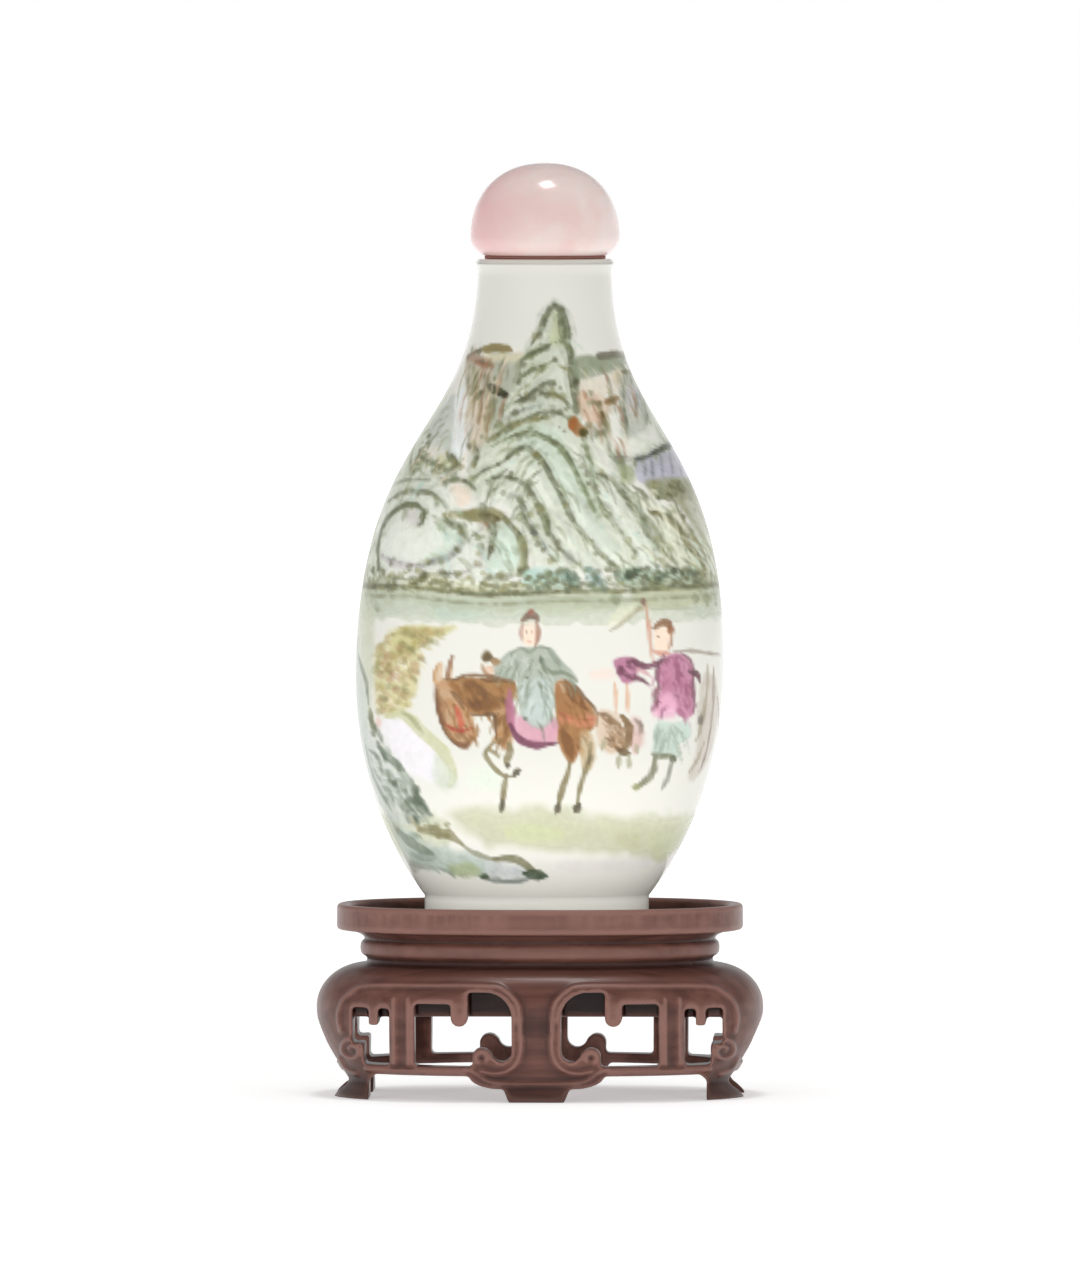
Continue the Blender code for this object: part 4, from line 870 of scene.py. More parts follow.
def paint_porter():
    """A porter in a plum jacket who follows with a pole and loads, and a small laden animal behind the donkey."""
    wash(srgb(206, 178, 150), [(5.8, 19.6), (7.2, 19.4), (8, 18.6), (8.2, 16.4), (7.2, 15.6), (6.2, 16.2),
        (5.6, 17.6)], 0.75)
    wash(srgb(208, 174, 166), [(8.8, 19), (9.8, 18.6), (10, 16.6), (9.2, 15.6), (8.8, 17)], 0.75)
    stroke(srgb(112, 84, 50), [(5.8, 19.4), (6.6, 19.2), (7.2, 18.8)], 0.4, 0.65)
    stroke(srgb(108, 76, 34), [(8, 19.1), (8.6, 18.3), (8.7, 17.2), (8.4, 16.3), (7.8, 15.8)], 0.65, 0.85)
    stroke(srgb(84, 66, 32), [(7.6, 16), (8.2, 15.7), (8.8, 15.6)], 0.5, 0.8)
    stroke(srgb(104, 88, 70), [(9.2, 18.8), (9.8, 18.2), (9.7, 17.2)], 0.35, 0.55)
    for start, end in (((7.8, 15.4), (7.7, 14.2)), ((8.7, 15.4), (8.7, 14.2)), ((6.5, 17), (6.1, 15.9)),
            ((9.4, 16.4), (9.5, 15.6))):
        stroke(srgb(150, 146, 110), [start, end], 0.42, 0.6)
    for across in (7.3, 8.4):
        stroke(srgb(212, 156, 116), [(across, 22.2), (across + 0.1, 20.8), (across + 0.1, 19.4)], 0.3, 0.65)
    wash(srgb(236, 204, 190), [(5.2, 23.5), (7.2, 23.4), (7.2, 22.6), (5.4, 22.6)], 0.4)
    stroke(srgb(196, 140, 112), [(10, 29.6), (10.2, 28.6), (10.4, 27.2), (10.6, 25.6), (10.8, 24)], 0.34,
        0.75)
    stroke(srgb(110, 74, 62), [(9.8, 30), (9.95, 29.5)], 0.4, 0.8)
    stroke(srgb(154, 148, 116), [(9.6, 29.2), (8.6, 28.5), (7.6, 27.6), (6.8, 27.1)], 0.4, 0.65, (0.9, 0.2))
    wash(srgb(222, 222, 190), [(9.2, 29.6), (7.8, 29.2), (6.6, 28), (6.8, 27.4), (8.4, 28.2)], 0.5)
    wash(peach, [(11.1, 27.2), (12, 27.4), (12.4, 26.4), (12.1, 25.2), (11.2, 25), (10.9, 26.2)], 0.9, 0.2,
        0.1)
    stroke(srgb(120, 78, 46), [(10.9, 27.3), (11.5, 27.8), (12.2, 27.7), (12.6, 27)], 0.62, 0.85)
    stroke(srgb(146, 96, 58), [(12.2, 27.4), (12.6, 26.8)], 0.6, 0.8)
    stroke(srgb(150, 100, 70), [(12.5, 26.8), (12.5, 26), (12.3, 25.4)], 0.35, 0.7)
    dab(srgb(120, 92, 76), (11.3, 26.5), 0.11, 0.6)
    stroke(srgb(196, 122, 104), [(10.8, 25.2), (11.6, 24.9), (12.4, 25)], 0.35, 0.65)
    stroke(srgb(122, 108, 92), [(12.8, 25.1), (14.4, 25.1), (16, 24.8), (17, 24.6)], 0.3, 0.55)
    wash(plum, [(7.2, 24.3), (8.2, 24.7), (9.4, 24.3), (9.3, 23.2), (9.2, 22.4), (8.2, 22.2), (7.6, 23)],
        0.92, 0.15)
    dab(srgb(100, 46, 70), (7.8, 23.4), 0.36, 0.75, 1.2)
    stroke(srgb(92, 44, 60), [(8.2, 23), (9, 22.7), (9.8, 22.5), (10.5, 22)], 0.4, 0.85)
    stroke(srgb(96, 52, 62), [(8.8, 24.4), (9.6, 24), (10.3, 23.8)], 0.4, 0.8)
    stroke(srgb(200, 140, 150), [(9, 23.6), (9.9, 23.3), (10.6, 22.8)], 0.4, 0.6)
    wash(srgb(182, 112, 142), [(12, 24.6), (13.4, 24.9), (14.4, 23.8), (14.6, 21.6), (14.6, 19.2),
        (13.4, 18.9), (12.6, 19.8), (11.6, 19.2), (11, 20.2), (11.6, 21.6), (11.2, 23)], 0.92, 0.15)
    wash(srgb(228, 172, 196), [(11, 20.2), (12, 21.2), (12.9, 20.4), (13, 19), (12, 18.7), (11, 19.2)], 0.85)
    stroke(srgb(140, 72, 98), [(12.9, 24.6), (13.1, 23.4), (13.4, 22)], 0.5, 0.7)
    stroke(srgb(156, 84, 112), [(13.8, 22), (14, 20.6), (13.9, 19.2)], 0.6, 0.6)
    stroke(srgb(80, 40, 50), [(14.2, 23.2), (14.9, 22.9), (15.2, 22.1)], 0.6, 0.85)
    stroke(srgb(104, 70, 70), [(11.3, 21.8), (11.1, 20.9), (11.1, 19.8)], 0.5, 0.8)
    wash(srgb(190, 208, 196), [(11.3, 18.6), (12.6, 18.4), (14.2, 18.4), (14.3, 17), (13.2, 16.4),
        (13, 15.4), (11.2, 15.3), (10.9, 17)], 0.9, 0.2)
    stroke(srgb(140, 150, 136), [(11.3, 18.2), (11.2, 16.8), (11.2, 15.6)], 0.28, 0.5)
    stroke(srgb(150, 160, 150), [(12.6, 18), (12.4, 16.8), (12.3, 15.6)], 0.28, 0.45)
    boot = srgb(112, 112, 84)
    stroke(boot, [(10.9, 15.5), (11.8, 15.3), (12.9, 15.3)], 0.5, 0.75)
    dab(srgb(70, 74, 40), (12.8, 15), 0.42, 0.75, 0.8)
    stroke(boot, [(11.1, 15.2), (11, 14.2), (10.7, 13.4), (10, 12.8), (9.3, 12.3)], 0.65, 0.8)
    dab(srgb(150, 150, 98), (9.4, 12.4), 0.42, 0.6, 0.7)
    stroke(srgb(132, 132, 118), [(12.7, 15), (12.5, 14), (12.2, 13), (11.8, 12.2)], 0.52, 0.7)
    wash(srgb(186, 174, 160), [(15.4, 22.6), (16.6, 22.4), (16.9, 19), (16.4, 16), (15.2, 13.4), (14.2, 13),
        (15, 16), (15, 19)], 0.55)
    load = (srgb(128, 112, 96), srgb(150, 138, 112), srgb(112, 92, 80))
    for start, middle, end in (((15.9, 23.8), (15.8, 21), (15, 17)), ((16.4, 23.4), (16.4, 20), (16, 16.4)),
            ((15.8, 20), (15.2, 17.4), (14.8, 16.6)), ((16.2, 18), (15.8, 15.4), (15.2, 13.6)),
            ((15.6, 16.4), (15, 14.8), (14.2, 13.6)), ((16.8, 20.6), (16.9, 18), (16.6, 15.6))):
        stroke(load[int(skin.random.integers(3))], [start, middle, end], 0.34, 0.65)
    dab(srgb(96, 88, 76), (15.3, 18.6), 0.4, 0.6, 1.3)
    jacket = [(12, 24.6), (13.4, 24.8), (14.4, 23.6), (14.4, 19.4), (12.4, 19.6), (11.2, 20.4), (11.2, 23)]
    hatch((srgb(120, 58, 84), srgb(150, 80, 108), srgb(206, 150, 176)), jacket, 46, 12.6, 0.7, 0.24, 0.55,
        1.8)
    sleeve = [(7.4, 24.2), (9.2, 24.4), (9.2, 22.6), (7.8, 22.6)]
    hatch((srgb(96, 44, 68), srgb(196, 132, 160)), sleeve, 16, 0, 0.6, 0.24, 0.6, 0.5)
    stroke(srgb(104, 52, 72), [(9.2, 23.9), (10.2, 23.7), (11.2, 24), (12, 24.4)], 0.5, 0.75)
    stroke(srgb(96, 50, 66), [(11.9, 24.8), (11.3, 23.8), (11.2, 22.6), (11.5, 21.6)], 0.3, 0.75)
    stroke(srgb(104, 56, 74), [(13.5, 24.9), (14.4, 24), (14.6, 22), (14.6, 19.4)], 0.3, 0.7)
    hide = [(5.8, 19.4), (7.2, 19.2), (8.2, 18), (8, 16.2), (6.4, 16.4)]
    hatch((srgb(120, 88, 52), srgb(150, 112, 74), srgb(96, 70, 36)), hide, 40, 0, 0.7, 0.24, 0.55, 1.0)
    trousers = [(11.4, 18.4), (14, 18.2), (13, 16), (11.2, 15.6)]
    hatch((srgb(134, 146, 130), srgb(160, 176, 160)), trousers, 26, 12.4, 0.7, 0.22, 0.5, 2.0)


def paint_bank():
    """A yellow tree, a pale rock and blue-grey rocks at the left, and washes of grass along the bottom."""
    wash(srgb(196, 190, 128), [(-14.4, 26.4), (-13, 27.4), (-11.2, 27.6), (-9.4, 27.4), (-7.6, 27.5),
        (-9.2, 26.5), (-10.6, 25.8), (-12, 25.2), (-13.8, 25.4)], 0.8, 0.4)
    wash(srgb(200, 190, 132), [(-15.2, 25.4), (-12.4, 25.6), (-11, 24.8), (-11.2, 22.4), (-12, 20),
        (-13.6, 19), (-15, 19.6), (-15.4, 22)], 0.7, 0.4)
    foliage = (srgb(150, 142, 74), srgb(168, 158, 92), srgb(136, 126, 66), srgb(196, 184, 118))
    dabs(foliage, [(-14, 26.6), (-12.6, 27.4), (-9.6, 27.2), (-10.8, 25.8), (-12.4, 25.2)], 30, 0.4, 0.36)
    dabs(foliage, [(-15, 25.2), (-11.6, 25.4), (-11.2, 22.4), (-12.2, 19.8), (-14.8, 19.2), (-15.4, 22)], 46,
        0.42, 0.36)
    dab(srgb(140, 120, 60), (-13.9, 23.4), 0.5, 0.6, 1.2)
    dab(srgb(238, 234, 214), (-12.6, 24), 0.55, 0.7)
    dab(srgb(240, 226, 196), (-14, 20.4), 0.6, 0.55, 0.6)
    dab(srgb(228, 220, 208), (-13.2, 22.6), 0.5, 0.5)
    wash(srgb(238, 234, 242), [(-14.6, 18.2), (-12.8, 18.8), (-11.4, 17.6), (-10, 16.4), (-9.2, 14.6),
        (-9.6, 13), (-12, 13.8), (-13.6, 15.6)], 0.7, 0.4)
    dab(srgb(226, 184, 172), (-14.9, 18.3), 0.45, 0.5)
    stroke(srgb(190, 192, 144), [(-14.2, 18.9), (-12.8, 19.2), (-11.6, 18.5), (-10.6, 17.6), (-9.6, 16.8),
        (-8.7, 15.8), (-8, 14.6), (-7.7, 13.4), (-8, 12.6)], 1.0, 0.65, (0.3, 0.5))
    stroke(srgb(146, 148, 106), [(-12.6, 19.3), (-11.8, 18.9), (-11.1, 18.1), (-10.6, 17.5)], 0.35, 0.6)
    wash(srgb(196, 206, 186), [(-9.4, 15.4), (-8.2, 14.4), (-7.4, 12.6), (-8.6, 12), (-9.6, 13.4)], 0.5)
    crown = [(-15, 25.6), (-13, 27.4), (-9, 27.3), (-11, 25), (-11.4, 22), (-12.4, 19.6), (-15, 19.4)]
    hatch((srgb(156, 144, 90), olive, srgb(176, 150, 108), srgb(214, 206, 160)), crown, 110, -13.4, 0.8, 0.4,
        0.5, 0.5)
    dabs((srgb(146, 136, 80), srgb(178, 150, 104), russet), crown, 40, 0.4, 0.3)
    rock, rock_dark = srgb(110, 122, 104), srgb(70, 84, 62)
    wash(srgb(196, 200, 174), [(-18, 30), (-16, 30), (-15.4, 26), (-15.6, 20), (-16.4, 16), (-18, 20)], 0.7,
        0.6)
    limb = [(-17.4, 29), (-17.1, 24), (-16.7, 19), (-15.8, 14.6), (-14.2, 10.6), (-12.6, 7), (-11.4, 5)]
    stroke(srgb(164, 172, 156), limb, 2.2, 0.65, (0.6, 0.8), 0.6)
    stroke(srgb(120, 130, 112), limb, 0.6, 0.6, (0.6, 0.5), 0.8)
    wash(srgb(198, 206, 198), [(-17, 25), (-16.2, 21), (-15.4, 17), (-13, 14), (-11.6, 12), (-10.4, 9.8),
        (-12.2, 8.6), (-14.4, 10), (-16.4, 15), (-17.3, 21)], 0.75, 0.4)
    stroke(rock, [(-17, 24.6), (-16.7, 23.6), (-16.2, 22.2), (-16, 21), (-15.9, 20)], 0.55, 0.75)
    stroke(srgb(106, 108, 66), [(-15.7, 19.4), (-15.5, 18.2), (-15.2, 17)], 0.85, 0.8)
    stroke(rock, [(-15, 16.4), (-14.2, 15.2), (-13.2, 14.6), (-12.5, 13.6), (-11.7, 12.6), (-11.2, 11.4),
        (-10.6, 10.5), (-9.8, 9.7)], 0.7, 0.75, (0.6, 0.5))
    for spot, size in (((-14.2, 15.2), 0.5), ((-11.3, 12), 0.48), ((-11.1, 10.9), 0.6), ((-10.4, 10.3), 0.5),
            ((-13.3, 12.7), 0.4), ((-15.4, 17.4), 0.4), ((-12, 10.8), 0.5)):
        dab(rock_dark, spot, size, 0.6)
    dabs((rock, srgb(150, 160, 132), rock_dark), [(-13, 12.6), (-11.4, 12.6), (-10, 10), (-12.8, 10)], 26,
        0.26, 0.45)
    stroke(rock, [(-16.2, 16), (-15.6, 13.6), (-14.6, 11.6), (-13.6, 10)], 0.5, 0.5)
    crag = [(-16.4, 20), (-13.6, 15), (-11, 12), (-9.8, 9.8), (-12, 8.8), (-14.6, 11), (-16.2, 15)]
    hatch((rock, rock_dark, srgb(206, 212, 204), srgb(150, 160, 146)), crag, 60, -20, 1.1, 0.46, 0.42, 1.3)
    low_rock = [(-12.6, 8.4), (-9, 6.4), (-5, 5.6), (-0.6, 4.6), (-4, 3.9), (-11, 4.8)]
    hatch((rock, srgb(150, 162, 148), srgb(216, 222, 218)), low_rock, 70, -20, 1.4, 0.28, 0.5, 0.5)
    meadow = [(-8, 9.8), (-4, 10.3), (2, 10.4), (8, 9.4), (13.2, 8.8), (13, 6.6), (8, 6.2), (2, 6.6), (-4, 7)]
    wash(srgb(200, 202, 170), meadow, 0.85, 0.9, 0.2, 2)
    wash(srgb(206, 214, 164), [(-2.6, 8.8), (0, 9), (2.6, 8.6), (2.4, 7.4), (0, 7.2), (-2.4, 7.6)], 0.6, 0.4)
    wash(srgb(196, 196, 158), [(7.6, 8.2), (9.2, 8), (9.8, 6.9), (8.4, 6.4), (7.8, 7)], 0.6, 0.4)
    wash(srgb(202, 208, 168), [(10.6, 7.6), (12.8, 7.8), (12.6, 6), (11.4, 5)], 0.6, 0.4)
    wash(srgb(222, 236, 218), [(-6, 14.2), (-3.6, 14), (-3.6, 12.4), (-6, 12.6)], 0.5, 0.5)
    wash(srgb(192, 206, 196), [(-12.8, 8.6), (-10.4, 7.2), (-7, 6.4), (-4.4, 5.6), (-4.8, 4.2), (-8, 4.4),
        (-11.2, 4.8), (-12.6, 6.4)], 0.75, 0.4)
    wash(srgb(216, 221, 222), [(-4.6, 5.4), (-2, 5.2), (-0.6, 4.6), (-1, 3.9), (-4, 3.9)], 0.7, 0.25)
    stroke(srgb(112, 124, 104), [(-13, 8.2), (-12.3, 7.4), (-11.4, 6.8), (-10.4, 6.3), (-9.6, 6)], 0.9, 0.65)
    stroke(srgb(136, 150, 136), [(-11.8, 6), (-10.6, 5.6), (-9.4, 5.6)], 0.7, 0.5)
    stroke(srgb(160, 166, 156), [(-12, 5), (-10.6, 4.8), (-9.6, 4.7)], 0.6, 0.5)
    stroke(srgb(150, 144, 108), [(-12, 9.6), (-11.2, 8.7), (-10.4, 8.3)], 0.35, 0.6)
    stroke(srgb(134, 128, 88), [(-11, 8.3), (-9.6, 8.1), (-8.4, 8), (-7.5, 7.5), (-6.8, 7)], 0.75, 0.75)
    dabs((olive, srgb(126, 120, 80)), [(-10.4, 8.6), (-8.4, 9), (-7.6, 8.6), (-7.4, 7.4), (-10.4, 7.8)], 16,
        0.3, 0.5)
    stroke(srgb(138, 138, 110), [(-6.9, 7), (-6.1, 6.4), (-5.2, 6), (-4.2, 5.7), (-3.4, 5.6)], 0.4, 0.7)
    stroke(srgb(112, 110, 74), [(-3.8, 5.6), (-2.8, 5.7), (-1.8, 5.6), (-1, 5.2), (-0.3, 4.7), (0.4, 4.2)],
        0.6, 0.8)
    stroke(srgb(58, 74, 52), [(-1, 4.3), (-0.2, 4.2), (0.5, 4.1), (1.1, 4)], 0.75, 0.85, (0.4, 0.3))
    stroke(srgb(118, 130, 122), [(-5.2, 4), (-4, 3.6), (-2.6, 3.5), (-1.2, 3.6), (-0.2, 3.9)], 0.4, 0.75)
    dab(srgb(70, 86, 62), (-4.7, 3.95), 0.4, 0.75, 0.6)
    wash(srgb(176, 190, 142), [(-8, 5), (-6, 5.2), (-5.2, 4.6), (-5.6, 3.9), (-7.6, 4)], 0.75, 0.3)
    wash(srgb(228, 222, 220), [(3, 5.4), (10, 5.6), (10, 4.8), (3, 4.6)], 0.4, 0.5)


def paint_sides():
    """Folded slopes, shore and grass past the edge of a face, so that the front and the back meet."""
    slope = [(15, 31), (14.4, 36), (12.8, 41), (10.4, 46), (8.6, 49.6), (9.6, 50), (11.6, 47.6),
        (14.2, 45.2), (17, 44.4), (20, 44.6), (19.5, 31)]
    pale = srgb(228, 232, 216)
    for hand in (-1, 1):
        skin.hand = hand
        wash(srgb(204, 211, 192), slope, 0.8, 0.6, 0.4, 2)
        for top, foot in (((10.6, 47), 16.4), ((12.4, 46), 17.8), ((14.4, 45), 19), ((16.8, 44), 20.4)):
            line = [top, (top[0] + 1.4, top[1] - 3), (top[0] + 2, top[1] - 7), (foot, 33)]
            stroke(pale, [(across + 0.8, up) for across, up in line], 0.9, 0.5, (0.4, 0.8), 0.6)
            stroke(pick((ink, moss, olive)), line, 0.5, 0.55, (0.3, 0.6), 0.7)
        hatch((moss, olive, pale, jade), slope, 90, 0, 1.6, 0.34, 0.45, 1.5)
        wash(srgb(188, 197, 180), [(14, 31), (19, 31), (19, 28.4), (14, 28.4)], 0.7, 0.5)
        stroke(dark_olive, [(14, 31), (16.5, 31.1), (19, 31)], 0.5, 0.7, (1, 1), 0.6)
        dabs((ink, moss, dark_olive), [(14, 33), (19, 33), (19, 31), (14, 31)], 50, 0.34, 0.5)
        wash(srgb(204, 208, 176), [(9, 9.4), (13, 9.6), (17, 9.2), (16, 6.4), (9, 6.4)], 0.7, 0.7)
    skin.hand = 1


skin = Skin(bottle.data, rings, outside_from, outside_to)
landscape = (paint_peak, paint_left_cliffs, paint_right_cliffs, paint_boulders, paint_shore, paint_bank)
skin.face, skin.brush = "back", 1.7
paint_sides()
skin.hand = -1
for painter in landscape:
    painter()
skin.face, skin.brush = "front", 1.0
paint_sides()
for painter in (*landscape, paint_donkey, paint_rider, paint_porter):
    painter()
linear = np.where(skin.colour <= 0.04045, skin.colour / 12.92, ((skin.colour + 0.055) / 1.055) ** 2.4)
enamel = bottle.data.attributes.new("enamel", "FLOAT_COLOR", "POINT")
enamel.data.foreach_set("color", np.column_stack([linear, skin.cover]).astype(np.float32).ravel())

# Glaze and enamels: a bluish-white clear glaze over white clay, with the enamels sunk in it and a little proud.
read = add_node(glaze_tree, "ShaderNodeAttribute", attribute_name="enamel")
place = add_node(glaze_tree, "ShaderNodeTexCoord").outputs["Object"]
brushed = add_node(glaze_tree, "ShaderNodeTexNoise", {"Vector": place, "Scale": 1300.0, "Detail": 2.0,
    "Roughness": 0.6})
pigment = calc(glaze_tree, "MULTIPLY", calc(glaze_tree, "SUBTRACT", brushed.outputs["Fac"], 0.5),
    read.outputs["Alpha"])
shade = calc(glaze_tree, "MULTIPLY_ADD", pigment, 0.25, 1.0)
tinted = add_node(glaze_tree, "ShaderNodeVectorMath", {0: read.outputs["Color"], "Scale": shade},
    operation="SCALE")
glaze_tree.links.new(tinted.outputs[0], glaze_shader.inputs["Base Color"])
wavy = add_node(glaze_tree, "ShaderNodeTexNoise", {"Vector": place, "Scale": 160.0, "Detail": 1.0})
wave = add_node(glaze_tree, "ShaderNodeBump", {"Height": wavy.outputs["Fac"], "Strength": 0.05,
    "Distance": 0.0004})
glaze_tree.links.new(wave.outputs[0], glaze_shader.inputs["Normal"])
rough = calc(glaze_tree, "MULTIPLY_ADD", read.outputs["Alpha"], 0.14, 0.16)
glaze_tree.links.new(rough, glaze_shader.inputs["Roughness"])
glaze_shader.inputs["Coat Weight"].default_value = 0.35
glaze_shader.inputs["Coat Roughness"].default_value = 0.08
glaze_shader.inputs["Subsurface Weight"].default_value = 0.08
glaze_shader.inputs["Subsurface Radius"].default_value = (0.0012, 0.0011, 0.001)

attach(bottle, "root")
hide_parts("porcelain_bottle")

# Stopper cap.
# A polished dome of pale pink stone, cloudy inside, with a flat underside that sits on the lip.
cap_low, cap_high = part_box("stopper_cap")
cap_radius, cap_middle = (cap_high.x - cap_low.x) / 2, (cap_high.x + cap_low.x) / 2
cap_swell_at, cap_squareness = 0.0017, 2.2


def cap_rings():
    dome, under = cap_high.z - cap_low.z - cap_swell_at, cap_swell_at * 1.6
    found = [(0, cap_high.z)]
    for step in range(1, 49):
        turn = 0.5 * math.pi * step / 48
        sine, cosine = math.sin(turn), max(math.cos(turn), 0)
        reach = (cosine**cap_squareness + sine**cap_squareness) ** (-1 / cap_squareness)
        found.append((cap_radius * reach * sine, cap_low.z + cap_swell_at + dome * reach * cosine))
    for step in range(1, 13):
        drop = cap_swell_at * step / 12
        inward = (1 - (drop / under) ** cap_squareness) ** (1 / cap_squareness)
        found.append((cap_radius * inward, cap_low.z + cap_swell_at - drop))
    found.append((0, cap_low.z))
    return [((radius, radius, height), 2.0, cap_middle) for radius, height in found]


stone, stone_tree, stone_shader = new_material("pink_stone")
cap = throw("stone_cap", cap_rings(), stone, 161)
place = add_node(stone_tree, "ShaderNodeTexCoord").outputs["Object"]
cloud = add_node(stone_tree, "ShaderNodeTexNoise", {"Vector": place, "Scale": 190.0, "Detail": 4.0,
    "Distortion": 0.6})
veil = add_node(stone_tree, "ShaderNodeValToRGB", {"Fac": cloud.outputs["Fac"]})
veil.color_ramp.elements[0].position, veil.color_ramp.elements[0].color = 0.3, (0.89, 0.63, 0.59, 1)
veil.color_ramp.elements[1].position, veil.color_ramp.elements[1].color = 0.7, (0.95, 0.81, 0.77, 1)
aside = add_node(stone_tree, "ShaderNodeSeparateXYZ", {0: place}).outputs["X"]
blush = add_node(stone_tree, "ShaderNodeMapRange", {"Value": aside, "From Min": -0.0005, "From Max": -0.0065})
mixed = add_node(stone_tree, "ShaderNodeMix", {"Factor": blush.outputs[0]}, data_type="RGBA")
stone_tree.links.new(veil.outputs["Color"], mixed.inputs[6])
mixed.inputs[7].default_value = (0.86, 0.50, 0.50, 1)
stone_tree.links.new(mixed.outputs[2], stone_shader.inputs["Base Color"])
stone_shader.inputs["Roughness"].default_value = 0.22
stone_shader.inputs["Coat Weight"].default_value = 0.5
stone_shader.inputs["Coat Roughness"].default_value = 0.06
stone_shader.inputs["Subsurface Weight"].default_value = 0.35
stone_shader.inputs["Subsurface Radius"].default_value = (0.003, 0.0015, 0.0012)
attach(cap, "root")
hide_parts("stopper_cap")

# Cork.
# A short tapered plug of natural cork under the cap, pushed into the neck. Its thin seat ring fills the joint
# between the lip and the cap, and is darker than the cork as painted shade of that joint.
cork_low, cork_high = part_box("stopper_cork")
cork_radius, cork_middle = (cork_high.x - cork_low.x) / 2, (cork_high.x + cork_low.x) / 2
cork_taper, cork_edge, seat_radius, seat_gap = 0.0003, 0.0002, 0.0057, 0.00003
lip_at = base_z + bottle_height + seat_gap
seat = [(0, cap_low.z - seat_gap), (seat_radius - seat_gap, cap_low.z - seat_gap)]
seat += [(seat_radius, (lip_at + cap_low.z) / 2), (seat_radius - seat_gap, lip_at), (cork_radius, lip_at)]
plug = [(cork_radius - cork_taper * step / 24,
    cork_high.z - (cork_high.z - cork_low.z - cork_edge) * step / 24) for step in range(25)]
plug += [(cork_radius - cork_taper - cork_edge, cork_low.z), (0, cork_low.z)]
bark, bark_tree, bark_shader = new_material("natural_cork")
cork = throw("cork_plug", [((radius, radius, height), 2.0, cork_middle) for radius, height in seat + plug],
    bark, 97)
place = add_node(bark_tree, "ShaderNodeTexCoord").outputs["Object"]
flecks = add_node(bark_tree, "ShaderNodeTexNoise", {"Vector": place, "Scale": 900.0, "Detail": 5.0,
    "Roughness": 0.7})
pores = add_node(bark_tree, "ShaderNodeTexVoronoi", {"Vector": place, "Scale": 1500.0})
tan = add_node(bark_tree, "ShaderNodeValToRGB", {"Fac": flecks.outputs["Fac"]})
tan.color_ramp.elements[0].position, tan.color_ramp.elements[0].color = 0.35, (0.16, 0.07, 0.03, 1)
tan.color_ramp.elements[1].position, tan.color_ramp.elements[1].color = 0.65, (0.42, 0.24, 0.12, 1)
# Painted shade: the ring above the lip is coloured dark reddish brown for the shade in the joint under the cap.
joint_shade_mask = calc(bark_tree, "GREATER_THAN", add_node(bark_tree, "ShaderNodeSeparateXYZ",
    {0: place}).outputs["Z"], lip_at - seat_gap)
painted_joint_shade = add_node(bark_tree, "ShaderNodeMix", {"Factor": joint_shade_mask}, data_type="RGBA")
bark_tree.links.new(tan.outputs["Color"], painted_joint_shade.inputs[6])
painted_joint_shade.inputs[7].default_value = (0.34, 0.15, 0.12, 1)
bark_tree.links.new(painted_joint_shade.outputs[2], bark_shader.inputs["Base Color"])
pitted = add_node(bark_tree, "ShaderNodeBump", {"Height": pores.outputs["Distance"], "Strength": 0.4,
    "Distance": 0.0002})
bark_tree.links.new(pitted.outputs[0], bark_shader.inputs["Normal"])
bark_shader.inputs["Roughness"].default_value = 0.85
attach(cork, "root")
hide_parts("stopper_cork")

# Stand.
# One block of dark polished hardwood: a moulded tray on a waist, over a swelling apron pierced with frets and
# scrolls between pendant feet and corner legs.
stand_low, stand_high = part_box("wood_stand")
stand_width, stand_depth = stand_high.x - stand_low.x, stand_high.y - stand_low.y
stand_height = stand_high.z - stand_low.z
apron_height, cove_height, bead_height, cavetto_height, rim_height = 0.0124, 0.0008, 0.0014, 0.0010, 0.0024
rim_inset, bead_inset, waist_inset, ankle_inset, toe_inset = 0.0019, 0.0041, 0.0046, 0.0026, 0.0015
swell_at, ankle_at, toe_height = 0.0084, 0.0017, 0.0012
tray_lip, tray_depth, leg_wall, core_underside = 0.0013, 0.0014, 0.0021, 0.0077
middle_post, wide_opening, wide_back_opening = 0.0046, 0.0091, 0.0082
side_post, narrow_opening, rail_underside, rail_height = 0.0024, 0.0035, 0.0024, 0.0009
wide_top, wide_step, narrow_top, top_round = 0.0103, 0.0011, 0.0087, 0.0024
hook_at, hook_width, hook_drop = 0.0049, 0.0016, 0.0032
scroll_at, scroll_round, scroll_rise, scroll_dip = 0.0028, 0.0009, 0.0018, 0.0005
tooth_at, tooth_width, tooth_drop, fret_width, fret_rise = 0.0015, 0.0009, 0.0006, 0.0011, 0.0020
pendant_bowl, pendant_neck, pendant_toe, pendant_neck_at = 0.0126, 0.0062, 0.0052, 0.0012
leg_inner, end_gap, end_ankle, end_opening, end_top = 0.0015, 0.0056, 0.0013, 0.0068, 0.0074


def quarter(start, end, steps, sideways=False):
    """Points of a quarter ellipse between two points, without the last. It leaves start upright or sideways."""
    (r0, z0), (r1, z1) = start, end
    points = []
    for step in range(steps):
        turn = 0.5 * math.pi * step / steps
        across, along = 1 - math.cos(turn), math.sin(turn)
        if sideways:
            across, along = math.sin(turn), 1 - math.cos(turn)
        points.append((r0 + (r1 - r0) * across, z0 + (z1 - z0) * along))
    return points


def arc(centre, radius, start, end, steps):
    """Points of a round stretch, from the start to the end angle in degrees, both included."""
    turns = [math.radians(start + (end - start) * step / steps) for step in range(steps + 1)]
    return [(centre[0] + radius * math.cos(turn), centre[1] + radius * math.sin(turn)) for turn in turns]


